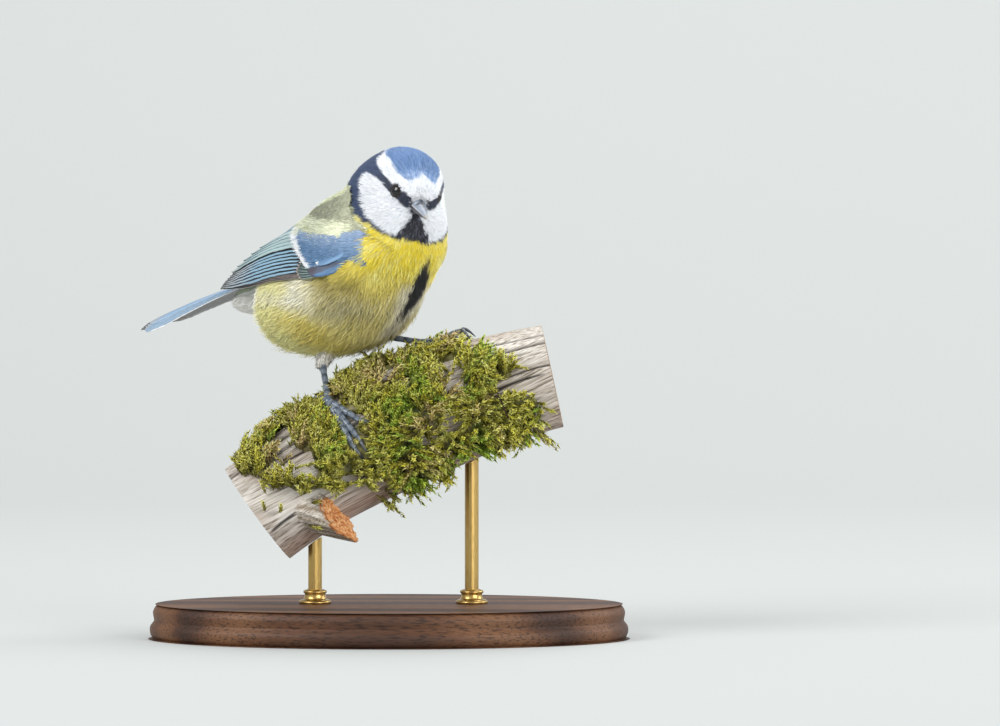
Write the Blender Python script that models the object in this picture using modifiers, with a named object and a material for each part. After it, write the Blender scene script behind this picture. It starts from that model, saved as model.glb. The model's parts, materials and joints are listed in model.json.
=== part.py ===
"""A life-size blue tit gripping a short length of mossy branch, on a plain display stand.

Lengths are in metres. The row frame stands on the underside of the base, with +Z up and the
branch along X. The bird has a frame of its own: +X forward, +Y to its left, +Z up.
"""

import math

import bmesh
import bpy
import numpy as np
from mathutils import Matrix, Vector

MM = 0.001
GAP = 0.3 * MM

# The bird's own frame, in the row frame
BIRD_AT = Vector((-9 * MM, 4 * MM, 80 * MM))
BIRD_TURN = math.radians(-42)

# The head: where its ball lies on the bird, and how it is turned on the neck
HEAD_AT = np.array((17.2, 0.0, 23.6)) * MM
HEAD_YAW = math.radians(-29)
HEAD_DOWN = math.radians(18)
HEAD_ROLL = math.radians(-9)

EYE_AT = np.array((7.0, 4.0, 1.5)) * MM
EYE_RADIUS = 2.2 * MM
LID_RADIUS = 1.75 * MM
LID_THICK = 0.36 * MM

BILL_AT = np.array((8.0, 0.0, 0.1)) * MM
BILL_LENGTH = 9.4 * MM
BILL_WIDTH = 4.4 * MM
BILL_UPPER_DEPTH = 2.3 * MM
BILL_LOWER_DEPTH = 1.9 * MM
BILL_DROOP = math.radians(4)
NOSTRIL_AT = np.array((4.0, 1.2, 1.25)) * MM
NOSTRIL_RADIUS = 0.4 * MM

# Soft forms of the bird: centre, half lengths, nose-up pitch in degrees, in its own frame
BODY_FORMS = {
    "breast": ((7.8, 0, 9.4), (15.5, 14.2, 14.3), 20),
    "belly": ((-3.0, 0, -0.6), (20.7, 16.8, 12.9), 12),
    "mantle": ((0.0, 0, 10.4), (19.0, 12.0, 10.8), 28),
    "rump": ((-18.9, 0, -0.1), (13.0, 6.5, 5.8), 12),
    "vent": ((-22.3, 0, -2.2), (13.9, 4.9, 3.1), 8),
    "neck": ((15.2, 0, 13.9), (10.9, 10.9, 10.2), 0),
    "nape": ((11.8, 0, 21.2), (9.5, 9.4, 9.7), 0),
}
# The same for the head, in the head's frame
HEAD_FORMS = {
    "skull": ((-1.5, 0, 0.8), (8.6, 9.0, 8.3), 0),
    "cheek_left": ((2.1, 3.4, -3.8), (6.6, 5.3, 5.5), 0),
    "cheek_right": ((2.1, -3.4, -3.8), (6.6, 5.3, 5.5), 0),
    "face": ((7.1, 0, 1.8), (3.8, 5.3, 3.7), 0),
    "chin": ((5.9, 0, -4.5), (4.4, 4.5, 3.6), 0),
}
FORM_BLEND = 1.1 * MM

# The line that the body's rings are strung on, from rump to head, and the rings' lean
SPINE = np.array(((-17, 0, -0.5), (-2, 0, 1.5), (9, 0, 8), (15.5, 0, 18), (17.5, 0, 22))) * MM
RING_LEAN = np.radians((8, 18, 38, 56, 62))
NECK_CUT = (np.array((14.2, 0, 15.4)) * MM, math.radians(64))
HEAD_CUT = (np.array((15.4, 0, 18.6)) * MM, math.radians(58))

# Folded wing, on the bird's right: stations along the bird and angles round its body
WING_AXIS_HEIGHT = 1.0 * MM
WING_AXIS_SLOPE = 0.12
WING_BED_FORM = ((-11.5, 0, 4.6), (28.6, 12.3, 8.5), 21)
WING_EDGE_X = np.array((-36, -30, -22, -12, -1, 5, 10, 15.5)) * MM
WING_LOW = np.radians((25, 21, 16, 11, 7, 9, 15, 28))
WING_HIGH = np.radians((31, 46, 57, 57, 46, 39, 38, 36))

# A feather of the solids: its thickness, the longest step along it, and its outline
VANE_THICK = 0.5 * MM
VANE_STEP = 5.8
VANE_SHARES = (0.0, 0.4, 0.75, 0.9, 1.0)
VANE_TAPER = (0.75, 1.0, 0.95, 0.75, 0.3)

# Tail: the ridge of its shallow roof, its half width and drop, and the roof's own roll
TAIL_X = np.array((-22, -32, -42, -48, -53, -58, -62, -65)) * MM
TAIL_Z = np.array((3.6, 0.8, -2.0, -3.8, -5.5, -7.3, -9.0, -10.4)) * MM
TAIL_HALF = np.array((2.4, 3.4, 4.8, 5.4, 5.7, 5.8, 5.6, 4.6)) * MM
TAIL_DROP = 0.07 / MM
TAIL_ROLL = math.radians(12)
TAIL_TIPS = (1.3, 0.6, 0.1, 0.0, 0.4, 1.4)
TAIL_VANE_HALF = 2.9 * MM

# Branch: the height of its centre line, as a parabola of X in the bird's datum
BRANCH_ENDS = (-21.0 * MM, 46.5 * MM)
BRANCH_MIDDLE = 7.0 * MM
BRANCH_HEIGHT = -34.0 * MM
BRANCH_SLOPE = 0.52
BRANCH_BEND = -3.8
BRANCH_SIDE = -3.0 * MM
BRANCH_RADIUS = 13.1 * MM
MOSS_DEEP = 1.5 * MM
MOSS_X = (-18.0 * MM, 29.0 * MM, 42.0 * MM)
MOSS_ROUND = (math.radians(-60), math.radians(150))
# Broken side branch: its centre line's ends in the datum, its radii and its torn end's rake
STUB_ENDS = np.array(((-16.0, -8.0, -46.3), (0.6, -12.6, -51.2))) * MM
STUB_RADII = (7.6 * MM, 5.7 * MM)
STUB_RAKE = 0.45

STAND_SIZE = np.array((110.0, 68.0, 8.0)) * MM
ROD_RADIUS = 1.6 * MM
ROD_X = (-8.0 * MM, 28.0 * MM)

COLOURS = {
    "plumage": (0.80, 0.72, 0.22, 1),
    "crown": (0.75, 0.78, 0.86, 1),
    "collar": (0.08, 0.10, 0.20, 1),
    "wing": (0.16, 0.30, 0.46, 1),
    "tail": (0.22, 0.38, 0.60, 1),
    "bill": (0.30, 0.31, 0.33, 1),
    "eye": (0.01, 0.01, 0.01, 1),
    "shin": (0.20, 0.24, 0.30, 1),
    "claw": (0.12, 0.13, 0.15, 1),
    "wood": (0.55, 0.47, 0.40, 1),
    "moss": (0.32, 0.38, 0.08, 1),
    "plinth": (0.10, 0.06, 0.04, 1),
    "rod": (0.60, 0.55, 0.42, 1),
}


def turned(yaw=0.0, down=0.0, roll=0.0):
    """Rotation matrix: roll about X, then nose down about Y, then yaw about Z."""
    turn = Matrix.Rotation(yaw, 3, "Z") @ Matrix.Rotation(down, 3, "Y") @ Matrix.Rotation(roll, 3, "X")
    return np.array(turn)


HEAD_TURN = turned(HEAD_YAW, HEAD_DOWN, HEAD_ROLL)


def head_to_bird(points):
    return HEAD_AT + np.asarray(points) @ HEAD_TURN.T


def row_from_datum(points):
    """Points measured from the bird's datum, but square to the row frame."""
    return np.asarray(points) + np.array(BIRD_AT)


def form_list():
    """Every soft form as (centre, half lengths, axes), in the bird's frame."""
    forms = []
    for centre, radii, pitch in BODY_FORMS.values():
        forms.append((np.array(centre) * MM, np.array(radii) * MM, turned(down=-math.radians(pitch))))
    for centre, radii, pitch in HEAD_FORMS.values():
        axes = HEAD_TURN @ turned(down=-math.radians(pitch))
        forms.append((head_to_bird(np.array(centre) * MM), np.array(radii) * MM, axes))
    return forms


FORMS = form_list()
BED_FORMS = FORMS + [
    (
        np.array(WING_BED_FORM[0]) * MM,
        np.array(WING_BED_FORM[1]) * MM,
        turned(down=-math.radians(WING_BED_FORM[2])),
    )
]


def depth_outside(points, forms):
    """About how far points lie outside the blended forms, and less than 0 inside."""
    total = 0.0
    for centre, radii, axes in forms:
        local = (points - centre) @ axes
        near = np.linalg.norm(local / radii, axis=-1)
        steep = np.linalg.norm(local / radii**2, axis=-1)
        distance = near * (near - 1) / np.maximum(steep, 1e-6)
        total = total + np.exp(np.clip(-distance / FORM_BLEND, -60, 60))
    return -FORM_BLEND * np.log(np.maximum(total, 1e-26))


def reach(origins, directions, forms, out=0.0):
    """Length of each ray from inside the forms to their surface, moved out by a distance."""
    lengths = np.zeros(directions.shape[:-1])
    for _ in range(60):
        points = origins + directions * lengths[..., None]
        lengths = lengths + 0.8 * (out - depth_outside(points, forms))
    return lengths


def along(stations, values, places):
    """Smooth curve through values at stations, read at places, by cubic Hermite pieces."""
    stations = np.asarray(stations, float)
    values = np.asarray(values, float)
    slopes = np.gradient(values, stations, axis=0)
    which = np.clip(np.searchsorted(stations, places) - 1, 0, len(stations) - 2)
    width = stations[which + 1] - stations[which]
    t = np.clip((places - stations[which]) / width, 0, 1)
    if values.ndim > 1:
        t, width = t[:, None], width[:, None]
    rise = slopes[which] * width * (t**3 - 2 * t**2 + t) + slopes[which + 1] * width * (t**3 - t**2)
    return values[which] * (2 * t**3 - 3 * t**2 + 1) + values[which + 1] * (3 * t**2 - 2 * t**3) + rise


def flesh_points(rings_behind=6, rings_between=15, rings_ahead=9, around=28, out=0.0):
    """Rings of points on the bird's surface: fans at rump and head, and rings between."""
    knots = np.linspace(0, 1, len(SPINE))
    places = np.linspace(0, 1, rings_between)
    tilt = np.concatenate(
        (
            np.radians(np.linspace(-90, 0, rings_behind + 1))[:-1],
            np.zeros(rings_between),
            np.radians(np.linspace(0, 90, rings_ahead + 1))[1:],
        )
    )
    where = np.concatenate((np.zeros(rings_behind), places, np.ones(rings_ahead)))
    origins = along(knots, SPINE, where)
    lean = along(knots, RING_LEAN, where)
    angle = np.linspace(0, 2 * math.pi, around, endpoint=False)
    normal = np.stack((np.cos(lean), 0 * lean, np.sin(lean)), -1)
    upward = np.stack((-np.sin(lean), 0 * lean, np.cos(lean)), -1)
    left = np.array((0.0, 1.0, 0.0))
    spread = np.cos(angle)[None, :, None] * upward[:, None] + np.sin(angle)[None, :, None] * left
    rays = np.cos(tilt)[:, None, None] * spread + np.sin(tilt)[:, None, None] * normal[:, None]
    starts = np.broadcast_to(origins[:, None], rays.shape)
    return starts + rays * reach(starts, rays, FORMS, out)[..., None]


def collection(name):
    found = bpy.data.collections.get(name)
    if not found:
        found = bpy.data.collections.new(name)
        bpy.context.scene.collection.children.link(found)
    return found


def new_object(name, mesh, material=None):
    """An object in the part's collection, or among the cutters if it has no material yet."""
    made = bpy.data.objects.new(name, mesh)
    if material:
        made.data.materials.append(bpy.data.materials[material])
    collection("blue_tit" if material else "cutters").objects.link(made)
    return made


def as_part(made, name, material):
    """Gives a finished piece its name, its material and its place in the part's collection."""
    made.name = name
    made.data.name = name
    made.data.materials.clear()
    made.data.materials.append(bpy.data.materials[material])
    for group in list(made.users_collection):
        group.objects.unlink(made)
    collection("blue_tit").objects.link(made)
    return made


def lofted(name, rings, material=None, smooth=True):
    """Closed loft through rings of equal count, with a fan of triangles over each end ring."""
    rings = np.asarray(rings)
    count, around = rings.shape[:2]
    bm = bmesh.new()
    grid = [[bm.verts.new(point) for point in ring] for ring in rings]
    for low, high in zip(grid, grid[1:]):
        for i in range(around):
            j = (i + 1) % around
            bm.faces.new((low[i], high[i], high[j], low[j]))
    for ring in (grid[0], grid[-1]):
        middle = bm.verts.new(sum((v.co for v in ring), Vector()) / around)
        for i in range(around):
            bm.faces.new((ring[i], ring[(i + 1) % around], middle))
    bmesh.ops.remove_doubles(bm, verts=bm.verts, dist=1e-6)
    bmesh.ops.recalc_face_normals(bm, faces=bm.faces)
    mesh = bpy.data.meshes.new(name)
    bm.to_mesh(mesh)
    bm.free()
    if smooth:
        mesh.shade_smooth()
    return new_object(name, mesh, material)


def applied(made):
    """Puts the evaluated mesh in place of the object's modifiers."""
    graph = bpy.context.evaluated_depsgraph_get()
    mesh = bpy.data.meshes.new_from_object(made.evaluated_get(graph))
    made.modifiers.clear()
    made.data = mesh
    return made


def boolean(made, other, operation, solver="EXACT"):
    """Applies a Boolean with one object, and removes that object."""
    step = made.modifiers.new(operation.lower(), "BOOLEAN")
    step.operation = operation
    step.object = other
    step.solver = solver
    applied(made)
    bpy.data.objects.remove(other)
    return made


def thinned(made, share):
    """Merges the slivers that joins leave, down to a share of the faces."""
    step = made.modifiers.new("thin", "DECIMATE")
    step.ratio = share
    step.use_collapse_triangulate = True
    return applied(made)


def joined(name, pieces, material):
    """One closed body from overlapping pieces."""
    group = bpy.data.collections.new(name + "_pieces")
    for piece in pieces[1:]:
        group.objects.link(piece)
    first = pieces[0]
    step = first.modifiers.new("join", "BOOLEAN")
    step.operation = "UNION"
    step.operand_type = "COLLECTION"
    step.collection = group
    step.solver = "MANIFOLD"
    applied(first)
    for piece in pieces[1:]:
        bpy.data.objects.remove(piece)
    bpy.data.collections.remove(group)
    return largest_only(as_part(first, name, material))


def largest_only(made):
    """Keeps the largest closed surface of a mesh, which drops loose scraps."""
    bm = bmesh.new()
    bm.from_mesh(made.data)
    bmesh.ops.remove_doubles(bm, verts=bm.verts, dist=1e-7)
    left = set(bm.faces)
    groups = []
    while left:
        group = {left.pop()}
        edge = list(group)
        while edge:
            face = edge.pop()
            for near in {f for e in face.edges for f in e.link_faces} - group:
                group.add(near)
                edge.append(near)
        left -= group
        groups.append(group)
    keep = max(groups, key=lambda g: sum(f.calc_area() for f in g))
    bmesh.ops.delete(bm, geom=[f for g in groups if g is not keep for f in g], context="FACES")
    bm.to_mesh(made.data)
    bm.free()
    return made


def slab(name, source, material, above=None, below=None):
    """The length of a closed mesh between two planes, each moved in by half the gap."""
    bm = bmesh.new()
    bm.from_mesh(source.data)
    for plane, side in ((above, 1), (below, -1)):
        if plane is None:
            continue
        point, lean = plane
        normal = Vector((math.cos(lean), 0, math.sin(lean))) * side
        at = Vector(point) + normal * GAP / 2
        cut = bmesh.ops.bisect_plane(
            bm, geom=bm.verts[:] + bm.edges[:] + bm.faces[:], plane_co=at, plane_no=normal, clear_inner=True
        )
        rim = [item for item in cut["geom_cut"] if isinstance(item, bmesh.types.BMEdge)]
        bmesh.ops.holes_fill(bm, edges=rim)
    bmesh.ops.recalc_face_normals(bm, faces=bm.faces)
    mesh = bpy.data.meshes.new(name)
    bm.to_mesh(mesh)
    bm.free()
    mesh.shade_smooth()
    return new_object(name, mesh, material)


def clear_of(made, cutter_maker, solver="EXACT"):
    """Cuts a piece clear of its neighbour by the gap."""
    boolean(made, cutter_maker(), "DIFFERENCE", solver)
    return largest_only(made)


def placed(made):
    """Moves a mesh out of the bird's frame into the row frame."""
    made.data.transform(Matrix.Translation(BIRD_AT) @ Matrix.Rotation(BIRD_TURN, 4, "Z"))
    return made


def flesh_cutter():
    return lofted("flesh_cutter", flesh_points(out=GAP), smooth=False)


def tube(name, points, radii, material=None, rings=9, sides=2, scutes=0, raised=0.09):
    """Round tube on a smooth curve through points, each with its radius, as a closed mesh.

    With scutes, the tube is a row of overlapping rings, each widest at its far edge.
    """
    points = np.asarray(points, float)
    steps = np.linalg.norm(np.diff(points, axis=0), axis=1)
    stations = np.concatenate(((0.0,), np.cumsum(steps))) / steps.sum()
    places = np.linspace(0, 1, rings)
    swell = np.ones(rings)
    if scutes:
        edges = np.linspace(0, 1, scutes + 1)[1:-1]
        places = np.sort(np.concatenate(((0.0, 1.0), edges - 0.004, edges + 0.02)))
        swell = np.where(np.arange(len(places)) % 2 == 1, 1 + raised, 1 - raised / 3)
        swell[-1] = 1.0
    centres = along(stations, points, places)
    widths = along(stations, np.asarray(radii, float), places) * swell
    curve = bpy.data.curves.new(name, "CURVE")
    curve.dimensions = "3D"
    curve.bevel_depth = 1.0
    curve.bevel_resolution = sides
    curve.use_fill_caps = True
    line = curve.splines.new("POLY")
    line.points.add(len(centres) - 1)
    for spot, place, width in zip(line.points, centres, widths):
        spot.co = (*place, 1)
        spot.radius = width
    guide = new_object(name + "_guide", curve)
    graph = bpy.context.evaluated_depsgraph_get()
    mesh = bpy.data.meshes.new_from_object(guide.evaluated_get(graph))
    bpy.data.objects.remove(guide)
    bm = bmesh.new()
    bm.from_mesh(mesh)
    bmesh.ops.remove_doubles(bm, verts=bm.verts, dist=1e-6)
    bmesh.ops.recalc_face_normals(bm, faces=bm.faces)
    bm.to_mesh(mesh)
    bm.free()
    mesh.name = name
    mesh.shade_smooth()
    mesh.set_sharp_from_angle(angle=math.radians(40))
    mesh.materials.clear()
    return new_object(name, mesh, material)


def ball(name, centre, radius, material=None, segments=16, rings=10):
    bm = bmesh.new()
    bmesh.ops.create_uvsphere(bm, u_segments=segments, v_segments=rings, radius=radius)
    bmesh.ops.translate(bm, verts=bm.verts, vec=Vector(centre))
    mesh = bpy.data.meshes.new(name)
    bm.to_mesh(mesh)
    bm.free()
    mesh.shade_smooth()
    return new_object(name, mesh, material)


# Flesh of the body, parted at the collar and under the cheeks


def make_body():
    whole = lofted("whole", flesh_points())
    torso = slab("torso", whole, "plumage", below=NECK_CUT)
    neck = slab("neck", whole, "collar", above=NECK_CUT, below=HEAD_CUT)
    head = slab("head", whole, "crown", above=HEAD_CUT)
    bpy.data.objects.remove(whole)
    for side in (-1, 1):
        centre = head_to_bird(EYE_AT * (1, side, 1))
        outward = HEAD_TURN @ eye_axis(side)
        lid = ring_lid(centre + outward * 1.55 * MM, outward)
        boolean(head, lid, "UNION")
        boolean(head, ball("socket", centre, EYE_RADIUS + GAP), "DIFFERENCE")
    head.name = "head"
    return [largest_only(torso), largest_only(neck), largest_only(head)]


def eye_axis(side):
    """The way an eye looks, in the head's frame."""
    axis = np.array((0.50, side * 0.85, 0.12))
    return axis / np.linalg.norm(axis)


def ring_lid(centre, outward):
    bpy.ops.mesh.primitive_torus_add(
        location=centre,
        rotation=Vector(outward).to_track_quat("Z", "Y").to_euler(),
        major_segments=20,
        minor_segments=6,
        major_radius=LID_RADIUS,
        minor_radius=LID_THICK,
    )
    return bpy.context.object


def make_eyes():
    made = []
    for name, side in (("eye_right", -1), ("eye_left", 1)):
        made.append(ball(name, head_to_bird(EYE_AT * (1, side, 1)), EYE_RADIUS, "eye"))
    return made


def make_bill():
    """Two halves of a short cone, flat where they meet at the line of the mouth."""
    made = []
    steps = np.linspace(0, 1, 9)[:-1]
    angle = np.linspace(0, math.pi, 7)
    for name, side, depth, length in (
        ("bill_upper", 1, BILL_UPPER_DEPTH, BILL_LENGTH),
        ("bill_lower", -1, BILL_LOWER_DEPTH, BILL_LENGTH * 0.93),
    ):
        width = BILL_WIDTH / 2 * (1 - steps) ** 0.85
        height = depth * (1 - steps) ** 0.75
        forward = steps * length
        rings = np.zeros((len(steps), len(angle), 3))
        rings[..., 0] = forward[:, None]
        rings[..., 1] = width[:, None] * np.cos(angle)
        rings[..., 2] = side * (GAP / 2 + height[:, None] * np.sin(angle))
        droop = turned(down=BILL_DROOP)
        rings = head_to_bird(BILL_AT + rings @ droop.T)
        piece = lofted(name, rings, "bill")
        if side > 0:
            for hand in (-1, 1):
                nostril = BILL_AT + NOSTRIL_AT * (1, hand, 1) @ droop.T
                boolean(piece, ball("nostril", head_to_bird(nostril), NOSTRIL_RADIUS, None, 8, 6), "DIFFERENCE")
        made.append(clear_of(piece, flesh_cutter))
    return made


# Folded wings


def wing_axis(x):
    return WING_AXIS_HEIGHT + WING_AXIS_SLOPE * x


def bed(x, angle, lift, side):
    """Point over the flank at a station and an angle up from the side, lifted off the body."""
    x, angle, lift = np.broadcast_arrays(x, angle, lift)
    origins = np.stack((x, 0 * x, wing_axis(x)), -1)
    rays = np.stack((0 * x, -np.cos(angle), np.sin(angle)), -1)
    length = reach(origins, rays, BED_FORMS, GAP) + lift
    points = origins + rays * length[..., None]
    return points * (1, -side, 1)


def plate(name, low, high, material=None):
    """Closed plate between two like grids of points, split into triangles alike on both."""
    rows, columns = low.shape[:2]
    bm = bmesh.new()
    grids = [[[bm.verts.new(point) for point in row] for row in grid] for grid in (low, high)]
    for grid in grids:
        for i in range(rows - 1):
            for j in range(columns - 1):
                a, b = grid[i][j], grid[i + 1][j]
                c, d = grid[i + 1][j + 1], grid[i][j + 1]
                bm.faces.new((a, b, c))
                bm.faces.new((a, c, d))
    under, over = grids
    rim = [(i, 0) for i in range(rows)] + [(rows - 1, j) for j in range(1, columns)]
    rim += [(i, columns - 1) for i in range(rows - 2, -1, -1)]
    rim += [(0, j) for j in range(columns - 2, 0, -1)]
    for (i, j), (k, m) in zip(rim, rim[1:] + rim[:1]):
        bm.faces.new((under[i][j], under[k][m], over[k][m]))
        bm.faces.new((under[i][j], over[k][m], over[i][j]))
    bmesh.ops.recalc_face_normals(bm, faces=bm.faces)
    mesh = bpy.data.meshes.new(name)
    bm.to_mesh(mesh)
    bm.free()
    return new_object(name, mesh, material)


def wing_angle(x, share):
    """Angle of a place on the wing, from its low edge at share 0 to its high edge at 1."""
    low = along(WING_EDGE_X, WING_LOW, x)
    high = along(WING_EDGE_X, WING_HIGH, x)
    return low + (high - low) * share


def wing_core(from_x=-31.0 * MM, to_x=15.5 * MM, rows=12, columns=5):
    """Thin plate under the whole folded wing, which its feathers are rooted in."""
    x = np.linspace(from_x, to_x, rows)
    share = np.linspace(0.04, 0.96, columns)
    angle = np.stack([wing_angle(x, part) for part in share], -1)
    spread = np.broadcast_to(x[:, None], angle.shape)
    thick = 0.55 + 0.75 * np.clip((spread / MM - 2) / 8, 0, 1)
    return plate("core", bed(spread, angle, 0.1 * MM, -1), bed(spread, angle, 0.1 * MM + thick * MM, -1))


def wing_vane(root_x, tip_x, root_share, tip_share, width, lifts):
    """One feather of the right wing: a thin strip over the bed, its low edge the outer one.

    lifts gives how far its under side stands off the bed: at the root, then at the low and
    high edge of the rest.
    """
    steps = max(2, math.ceil(0.88 * (root_x - tip_x) / VANE_STEP))
    t = np.append(np.linspace(0, 0.88, steps + 1), 1.0)
    taper = np.interp(t, VANE_SHARES, VANE_TAPER)
    x = (root_x + (tip_x - root_x) * t) * MM
    share = root_share + (tip_share - root_share) * t**1.3
    middle = np.array([wing_angle(x[i : i + 1], share[i])[0] for i in range(len(t))])
    radius = np.linalg.norm(bed(x, middle, 0.0, -1) - np.stack((x, 0 * x, wing_axis(x)), -1), axis=-1)
    half = 0.5 * width * MM * taper / radius
    angle = middle[:, None] + half[:, None] * np.array((-1.0, 1.0))
    root_lift, low_lift, high_lift = lifts
    rest = np.clip(t / 0.4, 0, 1)[:, None]
    lift = (root_lift * (1 - rest) + rest * np.array((low_lift, high_lift))) * MM
    spread = np.broadcast_to(x[:, None], angle.shape)
    return plate("vane", bed(spread, angle, lift, -1), bed(spread, angle, lift + VANE_THICK, -1))


def wing_vanes():
    """The tiers of a folded wing, from the outermost primary up to the median coverts."""
    vanes = []
    for part in np.linspace(0, 1, 6):
        tip = -33.6 - 2.4 * math.sin(math.pi * (0.15 + 0.6 * part))
        vanes.append(wing_vane(4.0, tip, 0.04 + 0.2 * part, 0.16 + 0.5 * part, 3.6, (0.2, 0.5, 0.1)))
    for part in np.linspace(0, 1, 5):
        tip = -31.5 + 4.5 * part
        lifts = (0.2, 0.5, 0.15)
        vanes.append(wing_vane(1.5 - 4 * part, tip, 0.3 + 0.34 * part, 0.56 + 0.28 * part, 3.9, lifts))
    for part in (0.0, 0.5, 1.0):
        tip = -27.5 + 7.5 * part
        lifts = (0.5, 0.8, 0.5)
        vanes.append(wing_vane(-2.5 - part, tip, 0.72 + 0.2 * part, 0.78 + 0.36 * part, 5.2, lifts))
    for part in (0.0, 0.5, 1.0):
        vanes.append(wing_vane(12.5, 1.5 - part, 0.14 + 0.16 * part, 0.07 + 0.2 * part, 2.8, (0.3, 0.8, 0.4)))
    vanes.append(wing_vane(12.0, 3.5, 0.4, 0.3, 2.4, (0.7, 1.1, 0.7)))
    for part in np.linspace(0, 1, 6):
        tip = 1.0 - 8.0 * part - 4.0 * part**2
        lifts = (0.5, 0.9 - 0.2 * part, 0.6 - 0.1 * part)
        vanes.append(wing_vane(tip + 9.5, tip, 0.42 + 0.34 * part, 0.3 + 0.58 * part, 3.7, lifts))
    for part in np.linspace(0, 1, 4):
        tip = 5.2 - 6.0 * part
        lifts = (0.6, 1.15 - 0.4 * part, 0.7 - 0.25 * part)
        vanes.append(wing_vane(tip + 6.5, tip, 0.6 + 0.14 * part, 0.45 + 0.25 * part, 3.4, lifts))
    return vanes


def wing_envelope(side):
    """The space that a folded wing holds over the tail, with the gap round it."""
    x = np.linspace(-37.2, -20, 10) * MM
    low = along(WING_EDGE_X, WING_LOW, x) - math.radians(7)
    high = along(WING_EDGE_X, WING_HIGH, x) + math.radians(7)
    angle = low[:, None] + (high - low)[:, None] * np.linspace(0, 1, 5)
    spread = np.broadcast_to(x[:, None], angle.shape)
    return plate("envelope", bed(spread, angle, -1.3 * MM, side), bed(spread, angle, 2.4 * MM, side))


def make_wings():
    """The right wing, joined from its core and vanes, and its mirror image on the left."""
    right = thinned(joined("wing_right", [wing_core()] + wing_vanes(), "wing"), 0.6)
    bm = bmesh.new()
    bm.from_mesh(right.data)
    bmesh.ops.scale(bm, verts=bm.verts, vec=(1, -1, 1))
    bmesh.ops.reverse_faces(bm, faces=bm.faces)
    mesh = bpy.data.meshes.new("wing_left")
    bm.to_mesh(mesh)
    bm.free()
    return [right, new_object("wing_left", mesh, "wing")]


# Tail


def tail_point(x, y, lift=0.0):
    """Point on the tail's roof, at a station along the bird and an offset to its left."""
    x, y = np.broadcast_arrays(np.asarray(x, float), np.asarray(y, float))
    ridge = along(TAIL_X[::-1], TAIL_Z[::-1], x.ravel()).reshape(x.shape)
    height = lift - TAIL_DROP * y**2
    roll = TAIL_ROLL * np.clip((x - TAIL_X[1]) / (TAIL_X[4] - TAIL_X[1]), 0, 1)
    turn_y = np.cos(roll) * y - np.sin(roll) * height
    turn_z = np.sin(roll) * y + np.cos(roll) * height
    return np.stack((x, turn_y, ridge + turn_z), -1)


def tail_vane(place, side):
    """One tail feather; place 0 is the top one at the middle, and each next lies under it."""
    tip = TAIL_X[-1] + TAIL_TIPS[place] * MM
    t = np.array((0, 0.25, 0.5, 0.75, 0.92, 1.0))
    x = TAIL_X[0] + (tip - TAIL_X[0]) * t
    spread = along(TAIL_X[::-1], TAIL_HALF[::-1], x) / TAIL_HALF.max()
    middle = side * (0.3 + 0.52 * place) * MM * spread
    half = TAIL_VANE_HALF * spread * np.array((0.9, 1, 1, 1, 0.8, 0.35))
    y = middle[:, None] + half[:, None] * np.array((-1.0, 0.0, 1.0))
    lift = -0.27 * place * MM
    x = np.broadcast_to(x[:, None], y.shape)
    return plate("tail_vane", tail_point(x, y, lift - VANE_THICK), tail_point(x, y, lift))


def make_tail():
    vanes = [tail_vane(place, side) for place in range(6) for side in (-1, 1)]
    tail = thinned(joined("tail", vanes, "tail"), 0.7)
    clear_of(tail, flesh_cutter)
    for side in (-1, 1):
        clear_of(tail, lambda: wing_envelope(side))
    return [tail]


# Legs


LEGS = {
    "right": {"hip": (-3.5, 1.0, -9.0), "heel": (-6.3, -1.8, -16.8), "at": (1.8, 33)},
    "left": {"hip": (2.0, 4.0, -5.0), "heel": (6.9, 2.2, -10.6), "at": (23.4, 0)},
}
# Each toe's run along the branch in mm and turn round it in degrees, then its claw's
TOES = {
    "right": {
        "inner": (3.6, 31, 2.4, 9),
        "middle": (1.9, 48, 0.3, 18),
        "outer": (0.2, 51, 0.6, 14),
        "hind": (-2.0, -30, -1.2, -18),
    },
    "left": {
        "inner": (5.2, 19, 2.2, 15),
        "middle": (7.0, 7, 1.6, 15),
        "outer": (6.9, -7, 2.6, 4),
        "hind": (-5.5, 8, -2.5, 18),
    },
}
FOOT_RADIUS = 1.15 * MM
THIGH_RADII = np.array((4.2, 3.4, 1.7, 1.1)) * MM
SHANK_RADII = np.array((1.0, 0.85, 0.72, 0.85, 1.0)) * MM
TOE_SCUTES = {"inner": 6, "middle": 8, "outer": 7, "hind": 5}
TOE_RADII = np.array((0.85, 0.74, 0.76, 0.66, 0.58)) * MM
CLAW_RADII = np.array((0.5, 0.42, 0.28, 0.08)) * MM
TOE_REST = 1.1 * MM
# Height of the toes and claws above that rest, at the steps along them
TOE_LIFTS = {"right": (0.9, 0.9, 0.2, 0.5, 0.1), "left": (0.9, 0.7, 0.5, 1.3, 1.6)}
CLAW_LIFTS = {"right": (0.1, 0.6, 0.3, -0.4), "left": (1.6, 1.9, 0.9, -0.5)}


def foot_centre(name):
    x, angle = LEGS[name]["at"]
    return branch_point(x * MM, math.radians(angle), TOE_REST + 0.9 * MM)


def leg_lines(name):
    """Centre lines of a feathered thigh and of the bare shank below it."""
    leg = LEGS[name]
    heel = row_from_datum(np.array(leg["heel"]) * MM)
    hip = row_from_datum(np.array(leg["hip"]) * MM)
    foot = foot_centre(name)
    shin = foot - heel
    shin = shin / np.linalg.norm(shin)
    start = heel + shin * (1.2 * MM + GAP)
    thigh = [hip, hip * 0.5 + heel * 0.5, heel, heel + shin * 1.2 * MM]
    return thigh, [start + (foot - start) * t for t in (0, 0.1, 0.5, 0.88, 1.0)]


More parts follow.
